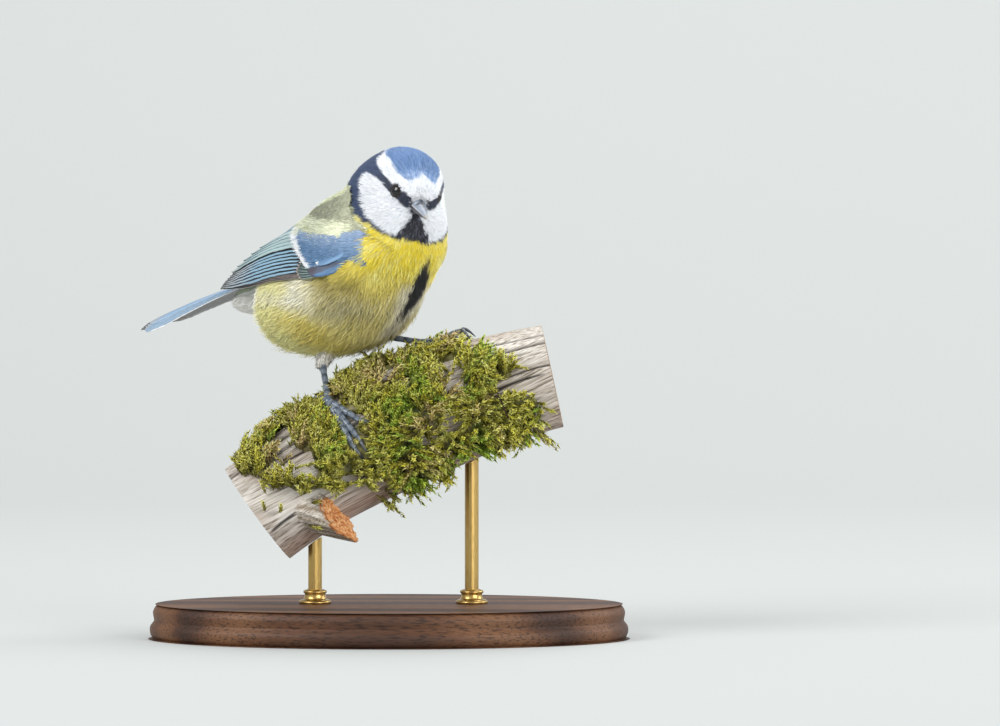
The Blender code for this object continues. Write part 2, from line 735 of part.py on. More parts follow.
def make_legs():
    made = []
    for name in LEGS:
        upper, lower = leg_lines(name)
        thigh = tube("thigh_" + name, upper, THIGH_RADII, "crown")
        made.append(clear_of(thigh, lambda: placed(flesh_cutter())))
        shank = tube("tarsus_" + name, lower, SHANK_RADII, "shin", scutes=8, raised=0.06)
        boolean(shank, placed(flesh_cutter()), "DIFFERENCE")
        cut_by_foot(shank, name)
        made.append(shank)
        made += make_foot(name)
    return made


def toe_line(name, toe):
    """Centre line of a toe over the branch, and of the claw that goes on from it."""
    x, angle = LEGS[name]["at"]
    run, turn, claw_run, claw_turn = TOES[name][toe]
    share = np.array((0, 0.25, 0.5, 0.75, 1.0))
    hind = toe == "hind"
    lift = TOE_REST + np.array(TOE_LIFTS["right" if hind else name]) * MM
    toe_points = branch_point((x + run * share) * MM, np.radians(angle + turn * share), lift)
    share = np.array((0.0, 0.35, 0.7, 1.0))
    lift = TOE_REST + np.array(CLAW_LIFTS["right" if hind else name]) * MM
    claw_x = x + run + claw_run * share
    claw_points = branch_point(claw_x * MM, np.radians(angle + turn + claw_turn * share), lift)
    onward = claw_points[1] - claw_points[0]
    onward = onward / np.linalg.norm(onward)
    claw_points[0] = toe_points[-1] + onward * (TOE_RADII[-1] + GAP)
    return toe_points, claw_points


def foot_tubes(name, spare=0.0):
    """The toes and claws of one foot, in the row frame's bearings, made fatter by a spare."""
    toes, claws = [], []
    for toe in TOES[name]:
        points, claw_points = toe_line(name, toe)
        if spare:
            toes.append(tube("toe", points, TOE_RADII + spare, rings=6, sides=1))
        else:
            toes.append(tube("toe", points, TOE_RADII, scutes=TOE_SCUTES[toe]))
        claws.append(tube(f"claw_{name}_{toe}", claw_points, CLAW_RADII + spare, rings=7, sides=1))
    return toes, claws


def cut_by_foot(made, name):
    """Cuts a piece clear of a whole foot by the gap; the cutters' few sides need more."""
    toes, claws = foot_tubes(name, spare=1.6 * GAP)
    ankle = ball("ankle_cutter", foot_centre(name), FOOT_RADIUS + 1.3 * GAP, segments=10, rings=6)
    for piece in [ankle] + toes + claws:
        boolean(made, piece, "DIFFERENCE")
    return largest_only(made)


def make_foot(name):
    toes, claws = foot_tubes(name)
    ankle = ball("ankle", foot_centre(name), FOOT_RADIUS, segments=12, rings=8)
    for claw in claws:
        as_part(claw, claw.name, "claw")
    return [joined("foot_" + name, [ankle] + toes, "shin")] + claws


# Branch


def branch_height(x):
    offset = x - BRANCH_MIDDLE
    return BRANCH_HEIGHT + BRANCH_SLOPE * offset + BRANCH_BEND * offset**2


def branch_slope(x):
    return np.arctan(BRANCH_SLOPE + 2 * BRANCH_BEND * (x - BRANCH_MIDDLE))


def branch_radius(x, angle):
    """Distance of the wood from the branch's centre line, with swells and long furrows."""
    share = (x - BRANCH_MIDDLE) / 0.05
    swell = 1 - 0.09 * share + 0.05 * np.sin(5.0 * share + 1.0)
    lobes = 0.035 * np.sin(2 * angle + 3.0 * share) + 0.025 * np.sin(3 * angle - 2.0 * share + 0.8)
    return BRANCH_RADIUS * (swell + lobes)


def branch_point(x, angle, lift=0.0):
    """Point on the wood; the angle runs from the top of the branch towards the viewer."""
    x, angle = np.broadcast_arrays(np.asarray(x, float), np.asarray(angle, float))
    slope = branch_slope(x)
    radius = branch_radius(x, angle) + lift
    up = np.cos(angle) * radius
    return row_from_datum(
        np.stack(
            (
                x - np.sin(slope) * up,
                BRANCH_SIDE - np.sin(angle) * radius,
                branch_height(x) + np.cos(slope) * up,
            ),
            -1,
        )
    )


def branch_rings(lift=0.0, rings=20, around=24, spare=0.0):
    x = np.linspace(BRANCH_ENDS[0] - spare, BRANCH_ENDS[1] + spare, rings)
    angle = np.linspace(0, 2 * math.pi, around, endpoint=False)
    return branch_point(x[:, None], angle[None, :], lift)


def moss_depth(x, angle):
    """Depth of the moss on the branch, level under the feet and thin at its ends."""
    lumps = 0.5 + 0.5 * np.sin(x / MM * 0.9 + 2 * angle) * np.sin(3 * angle - x / MM * 0.5)
    return MOSS_DEEP * (0.55 + 0.45 * lumps)


def stub(name="stub", spare=0.0):
    """A side branch, broken off short: rings along it, the last of them raked by the break."""
    rings = []
    angle = np.linspace(0, 2 * math.pi, 14, endpoint=False)
    for share in np.linspace(0, 1, 5):
        centre = STUB_ENDS[0] + (STUB_ENDS[1] - STUB_ENDS[0]) * share
        lobes = 1 + 0.06 * np.sin(3 * angle + 4 * share) + 0.05 * np.sin(5 * angle - 3 * share)
        radius = (STUB_RADII[0] + (STUB_RADII[1] - STUB_RADII[0]) * share) * lobes + spare
        forward = share**3 * (spare - STUB_RAKE * radius * (0.6 + np.cos(angle)))
        ring = np.stack((forward, -np.sin(angle) * radius, np.cos(angle) * radius), -1)
        rings.append(row_from_datum(centre + ring))
    return lofted(name, np.array(rings), smooth=False)


def moss_grid(rows, columns):
    """Stations and angles of the moss, which reaches further along the branch lower down."""
    angle = np.linspace(MOSS_ROUND[0], MOSS_ROUND[1], columns)[None, :] * np.ones((rows, 1))
    down = np.clip((angle - math.radians(20)) / math.radians(80), 0, 1)
    end = MOSS_X[1] + (MOSS_X[2] - MOSS_X[1]) * down * down * (3 - 2 * down)
    end = end + 1.2 * MM * np.sin(7 * angle)
    start = MOSS_X[0] + 1.5 * MM * np.sin(6 * angle + 1)
    return start + (end - start) * np.linspace(0, 1, rows)[:, None], angle


def make_perch():
    wood = lofted("perch_wood", branch_rings(), "wood")
    boolean(wood, stub(), "UNION")
    x, angle = moss_grid(18, 13)
    under = branch_point(x, angle, GAP)
    over = branch_point(x, angle, GAP + moss_depth(x, angle))
    moss = as_part(plate("moss_pad", under, over), "perch_moss", "moss")
    boolean(moss, stub("stub_cutter", GAP), "DIFFERENCE")
    for name in LEGS:
        shank = tube("shank_cutter", leg_lines(name)[1], SHANK_RADII + 1.6 * GAP, rings=4, sides=1)
        boolean(moss, shank, "DIFFERENCE")
        cut_by_foot(moss, name)
    return [largest_only(wood), moss]


# Stand


def branch_cutter():
    return lofted("branch_cutter", branch_rings(lift=GAP, spare=1 * MM), smooth=False)


def make_stand():
    bpy.ops.mesh.primitive_cylinder_add(vertices=48, radius=0.5, depth=1)
    base = bpy.context.object
    base.data.transform(Matrix.Diagonal((*STAND_SIZE, 1)))
    base.data.transform(Matrix.Translation((0, 0, STAND_SIZE[2] / 2)))
    rounding = base.modifiers.new("edge", "BEVEL")
    rounding.width = 1.2 * MM
    rounding.segments = 2
    rounding.limit_method = "ANGLE"
    rounding.angle_limit = math.radians(50)
    applied(base)
    as_part(base, "stand_base", "plinth")
    made = [base]
    for number, x in enumerate(ROD_X, 1):
        foot = STAND_SIZE[2] + GAP
        top = BIRD_AT.z + branch_height(x)
        bpy.ops.mesh.primitive_cylinder_add(
            vertices=16,
            radius=ROD_RADIUS,
            depth=top - foot,
            location=(BIRD_AT.x + x, BIRD_AT.y + BRANCH_SIDE, (top + foot) / 2),
        )
        rod = bpy.context.object
        rod.data.transform(rod.matrix_world)
        rod.matrix_world = Matrix.Identity(4)
        as_part(rod, f"stand_rod_{number}", "rod")
        made.append(clear_of(rod, branch_cutter))
    return made


def clear_scene():
    for thing in list(bpy.data.objects):
        bpy.data.objects.remove(thing)


def make_materials():
    for name, colour in COLOURS.items():
        material = bpy.data.materials.new(name)
        material.use_nodes = True
        shader = material.node_tree.nodes["Principled BSDF"]
        shader.inputs["Base Color"].default_value = colour
        shader.inputs["Roughness"].default_value = 0.25 if name == "eye" else 0.75
        shader.inputs["Metallic"].default_value = 1.0 if name == "rod" else 0.0


def make_frame():
    """The bird's own frame: an empty that turns and lifts its parts together."""
    frame = bpy.data.objects.new("bird_frame", None)
    bpy.context.scene.collection.objects.link(frame)
    frame.matrix_world = Matrix.Translation(BIRD_AT) @ Matrix.Rotation(BIRD_TURN, 4, "Z")
    return frame


def main():
    clear_scene()
    make_materials()
    frame = make_frame()
    for part in make_body() + make_eyes() + make_bill() + make_wings() + make_tail():
        part.parent = frame
    make_legs()
    make_perch()
    make_stand()


main()
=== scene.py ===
"""A life-size blue tit gripping a short mossy branch, held on an oval display stand.

The dressed model over its solid frame. Lengths are in metres and +Z is up. The bird has its own
frame, with +X along the body to the head and +Y to its left, and its head has another.
"""

import json
import logging
import math
from collections.abc import Callable
from dataclasses import dataclass, replace
from enum import Enum

import bpy
import numpy as np
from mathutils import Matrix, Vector

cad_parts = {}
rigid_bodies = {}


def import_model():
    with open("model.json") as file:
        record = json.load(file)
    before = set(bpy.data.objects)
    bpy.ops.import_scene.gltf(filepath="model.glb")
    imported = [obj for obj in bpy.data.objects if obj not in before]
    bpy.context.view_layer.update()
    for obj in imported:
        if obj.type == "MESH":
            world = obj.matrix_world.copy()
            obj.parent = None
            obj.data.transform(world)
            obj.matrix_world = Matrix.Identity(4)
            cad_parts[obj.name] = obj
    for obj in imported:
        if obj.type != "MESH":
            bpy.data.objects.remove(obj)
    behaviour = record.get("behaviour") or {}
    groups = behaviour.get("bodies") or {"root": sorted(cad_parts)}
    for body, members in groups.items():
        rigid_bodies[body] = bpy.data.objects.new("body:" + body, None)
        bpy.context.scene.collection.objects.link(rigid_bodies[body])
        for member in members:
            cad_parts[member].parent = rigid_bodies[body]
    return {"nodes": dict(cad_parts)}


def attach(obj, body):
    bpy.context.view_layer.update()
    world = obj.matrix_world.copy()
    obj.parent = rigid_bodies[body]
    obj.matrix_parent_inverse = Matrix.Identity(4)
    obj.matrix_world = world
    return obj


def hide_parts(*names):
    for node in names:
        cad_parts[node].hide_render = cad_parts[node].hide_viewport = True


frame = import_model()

Array = np.ndarray
Material = bpy.types.Material
Socket = bpy.types.NodeSocket
LOG = logging.getLogger("blue_tit")
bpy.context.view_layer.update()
MM = 0.001
TAU = 2 * math.pi
SOLID_LIMIT = 190_000
SIDES = ((-1, "right"), (1, "left"))
PATCH = 0.0028
GOLDEN = math.radians(137.5)
LATTICE = np.random.default_rng(11).random((24, 24, 24)) * 2 - 1


# Numbers


def srgb(code: str) -> Array:
    """Turns an sRGB hex colour to linear light.

    Args:
        code: the colour as #rrggbb.

    Returns:
        Three linear values.
    """
    value = np.array([int(code[i : i + 2], 16) for i in (1, 3, 5)]) / 255
    return np.where(value <= 0.04045, value / 12.92, ((value + 0.055) / 1.055) ** 2.4)


def smooth(low: float | Array, high: float | Array, value: Array) -> Array:
    """Step from 0 at low to 1 at high along 3 t^2 - 2 t^3."""
    t = np.clip((value - low) / (high - low), 0, 1)
    return t * t * (3 - 2 * t)


def blended(first: str | Array, second: str | Array, share: Array) -> Array:
    """Goes from one colour, linear or as hex, to another by a share for each point."""
    first, second = (srgb(colour) if isinstance(colour, str) else colour for colour in (first, second))
    share = np.asarray(share)[..., None]
    return first * (1 - share) + second * share


def unit(vectors: Array) -> Array:
    """Vectors of length one."""
    return vectors / np.maximum(np.linalg.norm(vectors, axis=-1, keepdims=True), 1e-12)


def flattened(vectors: Array, normals: Array) -> Array:
    """Vectors of length one once their part along the normals is taken out."""
    return unit(vectors - normals * np.sum(vectors * normals, -1, keepdims=True))


def turns(count: int) -> Array:
    """Equal angles once round."""
    return np.arange(count) / count * TAU


def swung(turn: Array, across: Array, other: Array) -> Array:
    """Directions at an angle from one axis towards another."""
    return np.cos(turn)[..., None] * across + np.sin(turn)[..., None] * other


def along(stations: Array, values: Array, places: Array) -> Array:
    """Reads a smooth curve through values at stations, by cubic Hermite pieces.

    Args:
        stations: rising positions of the values.
        values: one number or one point for each station.
        places: where to read; outside the stations the end values hold.

    Returns:
        One value for each place.
    """
    stations = np.asarray(stations, float)
    values = np.asarray(values, float)
    places = np.asarray(places, float)
    slopes = np.gradient(values, stations, axis=0)
    which = np.clip(np.searchsorted(stations, places) - 1, 0, len(stations) - 2)
    width = stations[which + 1] - stations[which]
    t = np.clip((places - stations[which]) / width, 0, 1)
    if values.ndim > 1:
        t, width = t[..., None], width[..., None]
    rise = slopes[which] * width * (t**3 - 2 * t**2 + t) + slopes[which + 1] * width * (t**3 - t**2)
    return values[which] * (2 * t**3 - 3 * t**2 + 1) + values[which + 1] * (3 * t**2 - 2 * t**3) + rise


def cloud(points: Array, size: float | tuple[float, float, float]) -> Array:
    """Soft noise from -1 to 1: random values on a lattice, blended between by 3 t^2 - 2 t^3.

    Args:
        points: where to read it.
        size: distance between the lattice's values, one or along each axis.

    Returns:
        One number for each point.
    """
    spot = np.asarray(points) / np.asarray(size) + 200.37
    base = np.floor(spot).astype(int)
    t = spot - base
    t = t * t * (3 - 2 * t)
    total = 0.0
    for corner in np.ndindex(2, 2, 2):
        weight = np.prod(np.where(np.array(corner) == 1, t, 1 - t), axis=-1)
        index = (base + np.array(corner)) % len(LATTICE)
        total = total + weight * LATTICE[index[..., 0], index[..., 1], index[..., 2]]
    return total


@dataclass(frozen=True)
class Placement:
    """Where a frame stands: its origin, then a turn of yaw, nose down and roll in degrees."""

    origin: tuple[float, float, float]
    yaw: float = 0.0
    down: float = 0.0
    roll: float = 0.0

    def turn(self) -> Array:
        """Rotation matrix: roll about X, then down about Y, then yaw about Z."""
        a, b, c = (math.radians(v) for v in (self.yaw, self.down, self.roll))
        about_z = np.array(((math.cos(a), -math.sin(a), 0), (math.sin(a), math.cos(a), 0), (0, 0, 1)))
        about_y = np.array(((math.cos(b), 0, math.sin(b)), (0, 1, 0), (-math.sin(b), 0, math.cos(b))))
        about_x = np.array(((1, 0, 0), (0, math.cos(c), -math.sin(c)), (0, math.sin(c), math.cos(c))))
        return about_z @ about_y @ about_x

    def out(self, points: Array) -> Array:
        """Points of this frame, in the frame around it."""
        return np.array(self.origin) * MM + np.asarray(points) @ self.turn().T

    def into(self, points: Array) -> Array:
        """Points of the frame around it, in this frame."""
        return (np.asarray(points) - np.array(self.origin) * MM) @ self.turn()


BIRD = Placement((-9, 4, 80), yaw=-42)
HEAD = Placement((17.2, 0, 23.6), yaw=-29, down=18, roll=-9)


# Meshes


def solid(name: str, points: Array, faces: list[Array], shade: Array | None = None) -> bpy.types.Object:
    """Makes a mesh object from whole arrays.

    Args:
        name: the piece's name.
        points: its vertices, in the row frame.
        faces: arrays of triangles or quads.
        shade: a linear colour for each vertex, kept as the attribute "shade".

    Returns:
        The object, at the origin, shaded smooth, its faces outward: they are turned over where the
        volume that they close, the sum of a . (b x c) / 6, comes out below 0.
    """
    mesh = bpy.data.meshes.new(name)
    shifted, volume = points - np.mean(points, axis=0), 0.0
    for group in faces:
        for k in range(1, np.asarray(group).shape[1] - 1):
            a, b, c = (shifted[group[:, i]] for i in (0, k, k + 1))
            volume += np.sum(a * np.cross(b, c))
    if volume < 0:
        faces = [np.asarray(group)[:, ::-1] for group in faces]
    corners = np.concatenate([np.asarray(f).ravel() for f in faces]).astype(np.int32)
    sizes = np.concatenate([np.full(len(f), np.asarray(f).shape[1]) for f in faces])
    mesh.vertices.add(len(points))
    mesh.vertices.foreach_set("co", np.asarray(points, np.float32).ravel())
    mesh.loops.add(len(corners))
    mesh.loops.foreach_set("vertex_index", corners)
    mesh.polygons.add(len(sizes))
    mesh.polygons.foreach_set("loop_start", (np.cumsum(sizes) - sizes).astype(np.int32))
    mesh.update(calc_edges=True)
    mesh.shade_smooth()
    if shade is not None:
        tint(mesh, "shade", shade)
    made = bpy.data.objects.new(name, mesh)
    bpy.context.scene.collection.objects.link(made)
    return made


def tint(mesh: bpy.types.Mesh, name: str, shade: Array) -> None:
    """Keeps a colour for each vertex as a named attribute."""
    layer = mesh.color_attributes.new(name=name, type="FLOAT_COLOR", domain="POINT")
    colours = np.ones((len(mesh.vertices), 4), np.float32)
    colours[:, :3] = np.clip(shade, 0, 1)
    layer.data.foreach_set("color", colours.ravel())


def map_points(mesh: bpy.types.Mesh, name: str, spots: Array) -> None:
    """Writes a UV map from one flat place for each vertex."""
    corners = np.zeros(len(mesh.loops), np.int32)
    mesh.loops.foreach_get("vertex_index", corners)
    layer = mesh.uv_layers.new(name=name)
    layer.data.foreach_set("uv", np.asarray(spots, np.float32)[corners].ravel())


def grid_faces(rows: int, columns: int, wrap: bool = False) -> Array:
    """Quads of a grid of vertices, facing the way that rows cross columns.

    Args:
        rows: rows of vertices.
        columns: vertices in a row.
        wrap: whether each row closes on itself.

    Returns:
        The quads as rows of four indices.
    """
    i, j = np.meshgrid(np.arange(rows - 1), np.arange(columns if wrap else columns - 1), indexing="ij")
    k = (j + 1) % columns
    quads = (i * columns + j, (i + 1) * columns + j, (i + 1) * columns + k, i * columns + k)
    return np.stack(quads, -1).reshape(-1, 4)


def sheet_faces(rows: int, columns: int) -> Array:
    """Faces of a closed sheet: an under grid, an over grid after it, and the rim between."""
    under = grid_faces(rows, columns)
    shift = rows * columns
    rim = [(i, 0) for i in range(rows)] + [(rows - 1, j) for j in range(1, columns)]
    rim += [(i, columns - 1) for i in range(rows - 2, -1, -1)] + [(0, j) for j in range(columns - 2, 0, -1)]
    edge = np.array([i * columns + j for i, j in rim])
    onward = np.roll(edge, -1)
    wall = np.stack((edge, edge + shift, onward + shift, onward), -1)
    return np.concatenate((under, under[:, ::-1] + shift, wall))


def tiled(faces: Array, step: int, count: int) -> Array:
    """Repeats faces for many like shapes whose vertices follow one another."""
    return (faces[None] + (np.arange(count) * step)[:, None, None]).reshape(-1, faces.shape[1])


def tube_grid(path: Array, radii: Array, around: int, swell: Array | None = None) -> Array:
    """Rings carried along a path, each turned the least from the last.

    Args:
        path: centre points.
        radii: ring radius at each point.
        around: points in a ring.
        swell: factor on the radius for each ring and angle.

    Returns:
        The rings as a grid of points, rings by around by 3.
    """
    forward = unit(np.gradient(path, axis=0))
    side = unit(np.cross(forward[0], (0.31, 0.12, 0.94)))
    sides = []
    for step in forward:
        side = unit(side - step * np.dot(side, step))
        sides.append(side)
    across = np.array(sides)
    other = np.cross(forward, across)
    reach = radii[:, None] * (1 if swell is None else swell)
    ring = swung(turns(around)[None], across[:, None], other[:, None])
    return path[:, None] + ring * np.broadcast_to(reach, (len(path), around))[..., None]


def capped_tube(grid: Array) -> tuple[Array, list[Array]]:
    """Closes a grid of rings with a point at the middle of each end ring."""
    rings, around = grid.shape[:2]
    points = np.concatenate((grid.reshape(-1, 3), grid[0].mean(0)[None], grid[-1].mean(0)[None]))
    first, last = rings * around, rings * around + 1
    j = np.arange(around)
    k = (j + 1) % around
    start = np.stack((np.full(around, first), k, j), -1)
    end = np.stack((np.full(around, last), (rings - 1) * around + j, (rings - 1) * around + k), -1)
    return points, [grid_faces(rings, around, wrap=True)[:, ::-1], start, end]


def for_tube(grid: Array) -> Array:
    """Values of a grid in one list, with the first and the last again for a tube's end points."""
    flat = grid.reshape(-1, grid.shape[-1])
    return np.concatenate((flat, flat[:1], flat[-1:]))


def layered(under: Array, over: Array) -> Array:
    """Points or values of two grids in one list, the under grid's first."""
    return np.concatenate((under.reshape(-1, under.shape[-1]), over.reshape(-1, over.shape[-1])))


def merged(parts: list[tuple[Array, list[Array]]]) -> tuple[Array, list[Array]]:
    """Puts several shapes' points and faces together as one."""
    points, faces, shift = [], [], 0
    for spots, groups in parts:
        points.append(spots)
        faces += [group + shift for group in groups]
        shift += len(spots)
    return np.concatenate(points), faces


def swarm(
    name: str, points: Array, faces: Array, shade: Array, spots: Array, normals: Array | None = None
) -> list[bpy.types.Object]:
    """Makes many like shapes, in pieces of under 190,000 triangles.

    Args:
        name: what the pieces are named for, before their number.
        points: vertices, shapes by vertices by 3.
        faces: the triangles of one shape.
        shade: a colour for each vertex.
        spots: a place in the UV map "OFBake" for each vertex.
        normals: the way that each vertex is shaded, if not by its faces.

    Returns:
        The pieces, not yet dressed.
    """
    made, batch = [], SOLID_LIMIT // len(faces)
    for part, first in enumerate(range(0, len(points), batch), 1):
        rows = slice(first, first + batch)
        spread = points[rows]
        many = tiled(faces, points.shape[1], len(spread))
        piece = solid(f"{name}_{part}", spread.reshape(-1, 3), [many], shade[rows].reshape(-1, 3))
        if normals is not None:
            piece.data.normals_split_custom_set_from_vertices(normals[rows].reshape(-1, 3))
        map_points(piece.data, "OFBake", spots[rows].reshape(-1, 2))
        made.append(piece)
    return made


def dress(piece: bpy.types.Object, slot: str, material: Material, *nodes: str) -> None:
    """Gives a piece its finish, its body and the solids that it stands for, and logs it."""
    piece.data.materials.clear()
    piece.data.materials.append(material)
    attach(piece, "root")
    if nodes:
        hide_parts(*nodes)
    LOG.info("%s: %d faces, stands for %s", piece.name, len(piece.data.polygons), nodes or "nothing")


# Finishes


def rgba(code: str) -> tuple[float, float, float, float]:
    """A hex colour as a shader's linear colour."""
    return (*srgb(code), 1.0)


class Finish:
    """A material in the making: its node tree, and the shader that it ends in."""

    def __init__(self, name: str) -> None:
        """Makes the material with only its shader and output."""
        self.material = bpy.data.materials.new(name)
        self.material.use_nodes = True
        self.tree = self.material.node_tree
        self.shader = self.tree.nodes["Principled BSDF"]

    def put(self, node: bpy.types.Node, inputs: dict) -> None:
        """Gives inputs of a node, by name or number, a value or a link from an output."""
        for key, value in inputs.items():
            if isinstance(value, Socket):
                self.tree.links.new(value, node.inputs[key])
            else:
                node.inputs[key].default_value = value

    def add(self, kind: str, inputs: dict | None = None, **settings) -> bpy.types.bpy_prop_collection:
        """Adds a node and gives its outputs.

        Args:
            kind: the node's type, without the word ShaderNode.
            inputs: for each input's name or number, a value or an output to link.
            **settings: properties of the node.

        Returns:
            The node's outputs.
        """
        node = self.tree.nodes.new(f"ShaderNode{kind}")
        for key, value in settings.items():
            setattr(node, key, value)
        self.put(node, inputs or {})
        return node.outputs

    def attribute(self, name: str) -> Socket:
        """The piece's own colour of a name."""
        return self.add("Attribute", attribute_name=name)["Color"]

    def place(self) -> Socket:
        """Object coordinates."""
        return self.add("TexCoord")["Object"]

    def noise(self, place: Socket, scale: float, detail: float = 2.0) -> Socket:
        """Soft noise at a place."""
        return self.add("TexNoise", {"Vector": place, "Scale": scale, "Detail": detail})[0]

    def math(self, operation: str, *values: Socket | float) -> Socket:
        """A sum of one to three values."""
        return self.add("Math", dict(enumerate(values)), operation=operation)[0]

    def ranged(self, value: Socket, *ends: float, **settings) -> Socket:
        """A value carried from a low and a high to a new low and high, 0 and 1 if not given."""
        return self.add("MapRange", {"Value": value, **dict(enumerate(ends, 1))}, **settings)[0]

    def scaled(self, colour: Socket, factor: Socket) -> Socket:
        """A colour made lighter or darker."""
        return self.add("VectorMath", {0: colour, "Scale": factor}, operation="SCALE")[0]

    def mix(self, share: Socket | float, first: Socket, second: Socket, blend: str = "MIX") -> Socket:
        """Two colours mixed by a share, or one multiplied by the other."""
        inputs = {0: share, 6: first, 7: second}
        return self.add("Mix", inputs, data_type="RGBA", blend_type=blend)[2]

    def ramp(self, value: Socket, stops: tuple[tuple[float, str], ...]) -> Socket:
        """A colour ramp over a value, with its stops as place and hex colour."""
        colour = self.add("ValToRGB", {0: value})[0]
        marks = colour.node.color_ramp.elements
        for _ in stops[2:]:
            marks.new(0.5)
        for mark, (place, code) in zip(marks, stops):
            mark.position = place
            mark.color = rgba(code)
        return colour

    def done(self, values: dict, height: Socket | None = None, deep: float = 0.0) -> Material:
        """Sets the shader's inputs, with a relief by a height pattern of a depth in metres."""
        self.put(self.shader, values)
        if height is not None:
            bump = self.add("Bump", {"Height": height, "Distance": deep, "Strength": 1.0})
            self.put(self.shader, {"Normal": bump[0]})
        return self.material


@dataclass(frozen=True)
class DownyBarbs:
    """Loose barbs of small body feathers: matt, with a soft sheen, their colour in each barb."""

    name: str = "downy_barbs"
    roughness: float = 0.62
    sheen: float = 0.06

    def make(self) -> Material:
        """Colour from the piece's own attribute, streaked finely at 0.15 mm."""
        finish = Finish(self.name)
        grain = finish.ranged(finish.noise(finish.place(), 6500.0), 0.0, 1.0, 0.86, 1.1)
        values = {
            "Base Color": finish.scaled(finish.attribute("shade"), grain),
            "Roughness": self.roughness,
            "Specular IOR Level": 0.3,
            "Sheen Weight": self.sheen,
            "Sheen Roughness": 0.5,
        }
        return finish.done(values)


@dataclass(frozen=True)
class VaneBarbs:
    """Zipped barbs of a flight feather: a firm web with a coloured edge, and a fine oblique rib.

    The piece's UV map "vane" holds how far across (0 at the outer edge) and, in millimetres, how
    far along each place lies.
    """

    name: str = "vane_barbs"
    edge_share: float = 0.3
    edge_soft: float = 0.06
    rib_mm: float = 0.34
    rib_deep: float = 0.02 * MM
    roughness: float = 0.42

    def make(self) -> Material:
        """Edge and web colours from attributes, parted at a share of the width, then ribbed."""
        finish = Finish(self.name)
        parts = finish.add("SeparateXYZ", {0: finish.add("UVMap", uv_map="vane")[0]})
        wander = finish.math("MULTIPLY_ADD", finish.noise(finish.place(), 900.0), 0.1, parts[0])
        low = self.edge_share + 0.05 - self.edge_soft
        inner = finish.ranged(wander, low, low + 2 * self.edge_soft, interpolation_type="SMOOTHSTEP")
        colour = finish.mix(inner, finish.attribute("edge"), finish.attribute("shade"))
        lean = finish.math("MULTIPLY_ADD", parts[0], 2.2, parts[1])
        rib = finish.math("SINE", finish.math("MULTIPLY", lean, TAU / self.rib_mm))
        values = {
            "Base Color": finish.scaled(colour, finish.ranged(rib, -1.0, 1.0, 0.86, 1.06)),
            "Roughness": self.roughness,
            "Specular IOR Level": 0.4,
            "Sheen Weight": 0.1,
        }
        return finish.done(values, rib, self.rib_deep)


@dataclass(frozen=True)
class Mottled:
    """A plain stuff whose colour wanders between a few tones over a real size.

    The pattern may be stretched along each axis, after a turn about Y that sets X along the grain.
    With tinted set, the tones are factors on the piece's own colour attribute "shade".
    """

    name: str
    stops: tuple[tuple[float, str], ...]
    size_mm: float = 1.0
    stretch: tuple[float, float, float] = (1.0, 1.0, 1.0)
    grain_deg: float = 0.0
    detail: float = 4.0
    roughness: float = 0.5
    relief_mm: float = 0.03
    specular: float = 0.5
    coat: float = 0.0
    metallic: float = 0.0
    tinted: bool = True

    def make(self) -> Material:
        """Noise over Object coordinates through a colour ramp, with a bump of the same noise."""
        finish = Finish(self.name)
        turn = (0.0, math.radians(self.grain_deg), 0.0)
        inputs = {"Vector": finish.place(), "Rotation": turn, "Scale": self.stretch}
        place = finish.add("Mapping", inputs, vector_type="TEXTURE")[0]
        noise = finish.noise(place, 1 / (self.size_mm * MM), self.detail)
        colour = finish.ramp(noise, self.stops)
        if self.tinted:
            colour = finish.mix(1.0, finish.attribute("shade"), colour, "MULTIPLY")
        values = {
            "Base Color": colour,
            "Roughness": self.roughness,
            "Specular IOR Level": self.specular,
            "Metallic": self.metallic,
            "Coat Weight": self.coat,
            "Coat Roughness": 0.08,
        }
        return finish.done(values, noise, self.relief_mm * MM)


WHITE = "#ffffff"
# Keratin: grey horn with a soft gloss, streaked along the bill
BILL_HORN = Mottled(
    "bill_keratin", ((0.3, "#d9dbe0"), (0.7, WHITE)), 0.6, (3, 1, 1), 0, 3, 0.3, 0.015, coat=0.25
)
# Wet cornea over a dark brown iris: the gloss is in the clear coat
EYE_CORNEA = Mottled(
    "moist_cornea", ((0.3, "#f2f2f2"), (0.7, WHITE)), roughness=0.2, relief_mm=0, specular=0.1, coat=0.9
)
# Bare skin of the lid ring: soft and finely creased
LID_SKIN = Mottled("creased_lid_skin", ((0.3, "#c2b8ae"), (0.7, WHITE)), 0.3, relief_mm=0.05)
# Scutes: overlapping plates of keratin, satin; the light along their crowns is a highlight painted into the
# shanks' and toes' colours
SCUTE_HORN = Mottled(
    "leg_scutes", ((0.3, "#b4b8c0"), (0.7, WHITE)), 0.35, detail=3, roughness=0.3, relief_mm=0.02, coat=0.35
)
# Claw: hard dark keratin, glossier than the scutes
CLAW_HORN = Mottled("claw_keratin", ((0.3, "#c9c5bd"), (0.7, WHITE)), 0.8, roughness=0.28, coat=0.3)
# Weathered wood: grey sapwood that sun and rain have opened along its fibres
GREY_WOOD = Mottled(
    "weathered_wood", ((0.34, "#8f867d"), (0.46, "#dcd7d0"), (0.66, WHITE)),
    0.32, (40, 1, 1), -27, 3, 0.86, 0.14, 0.25
)
# Torn heartwood: fresh orange splinters
TORN_WOOD = Mottled(
    "torn_heartwood", ((0.3, "#a8714d"), (0.5, "#ecc9ac"), (0.75, WHITE)),
    0.6, (6, 1, 1), 0, 8, 0.8, 0.2, 0.25
)
# Moss leaves: thin and slightly waxy
MOSS_LEAF = Mottled("moss_leaves", ((0.3, "#b8b8a8"), (0.7, WHITE)), 0.8, relief_mm=0.02)
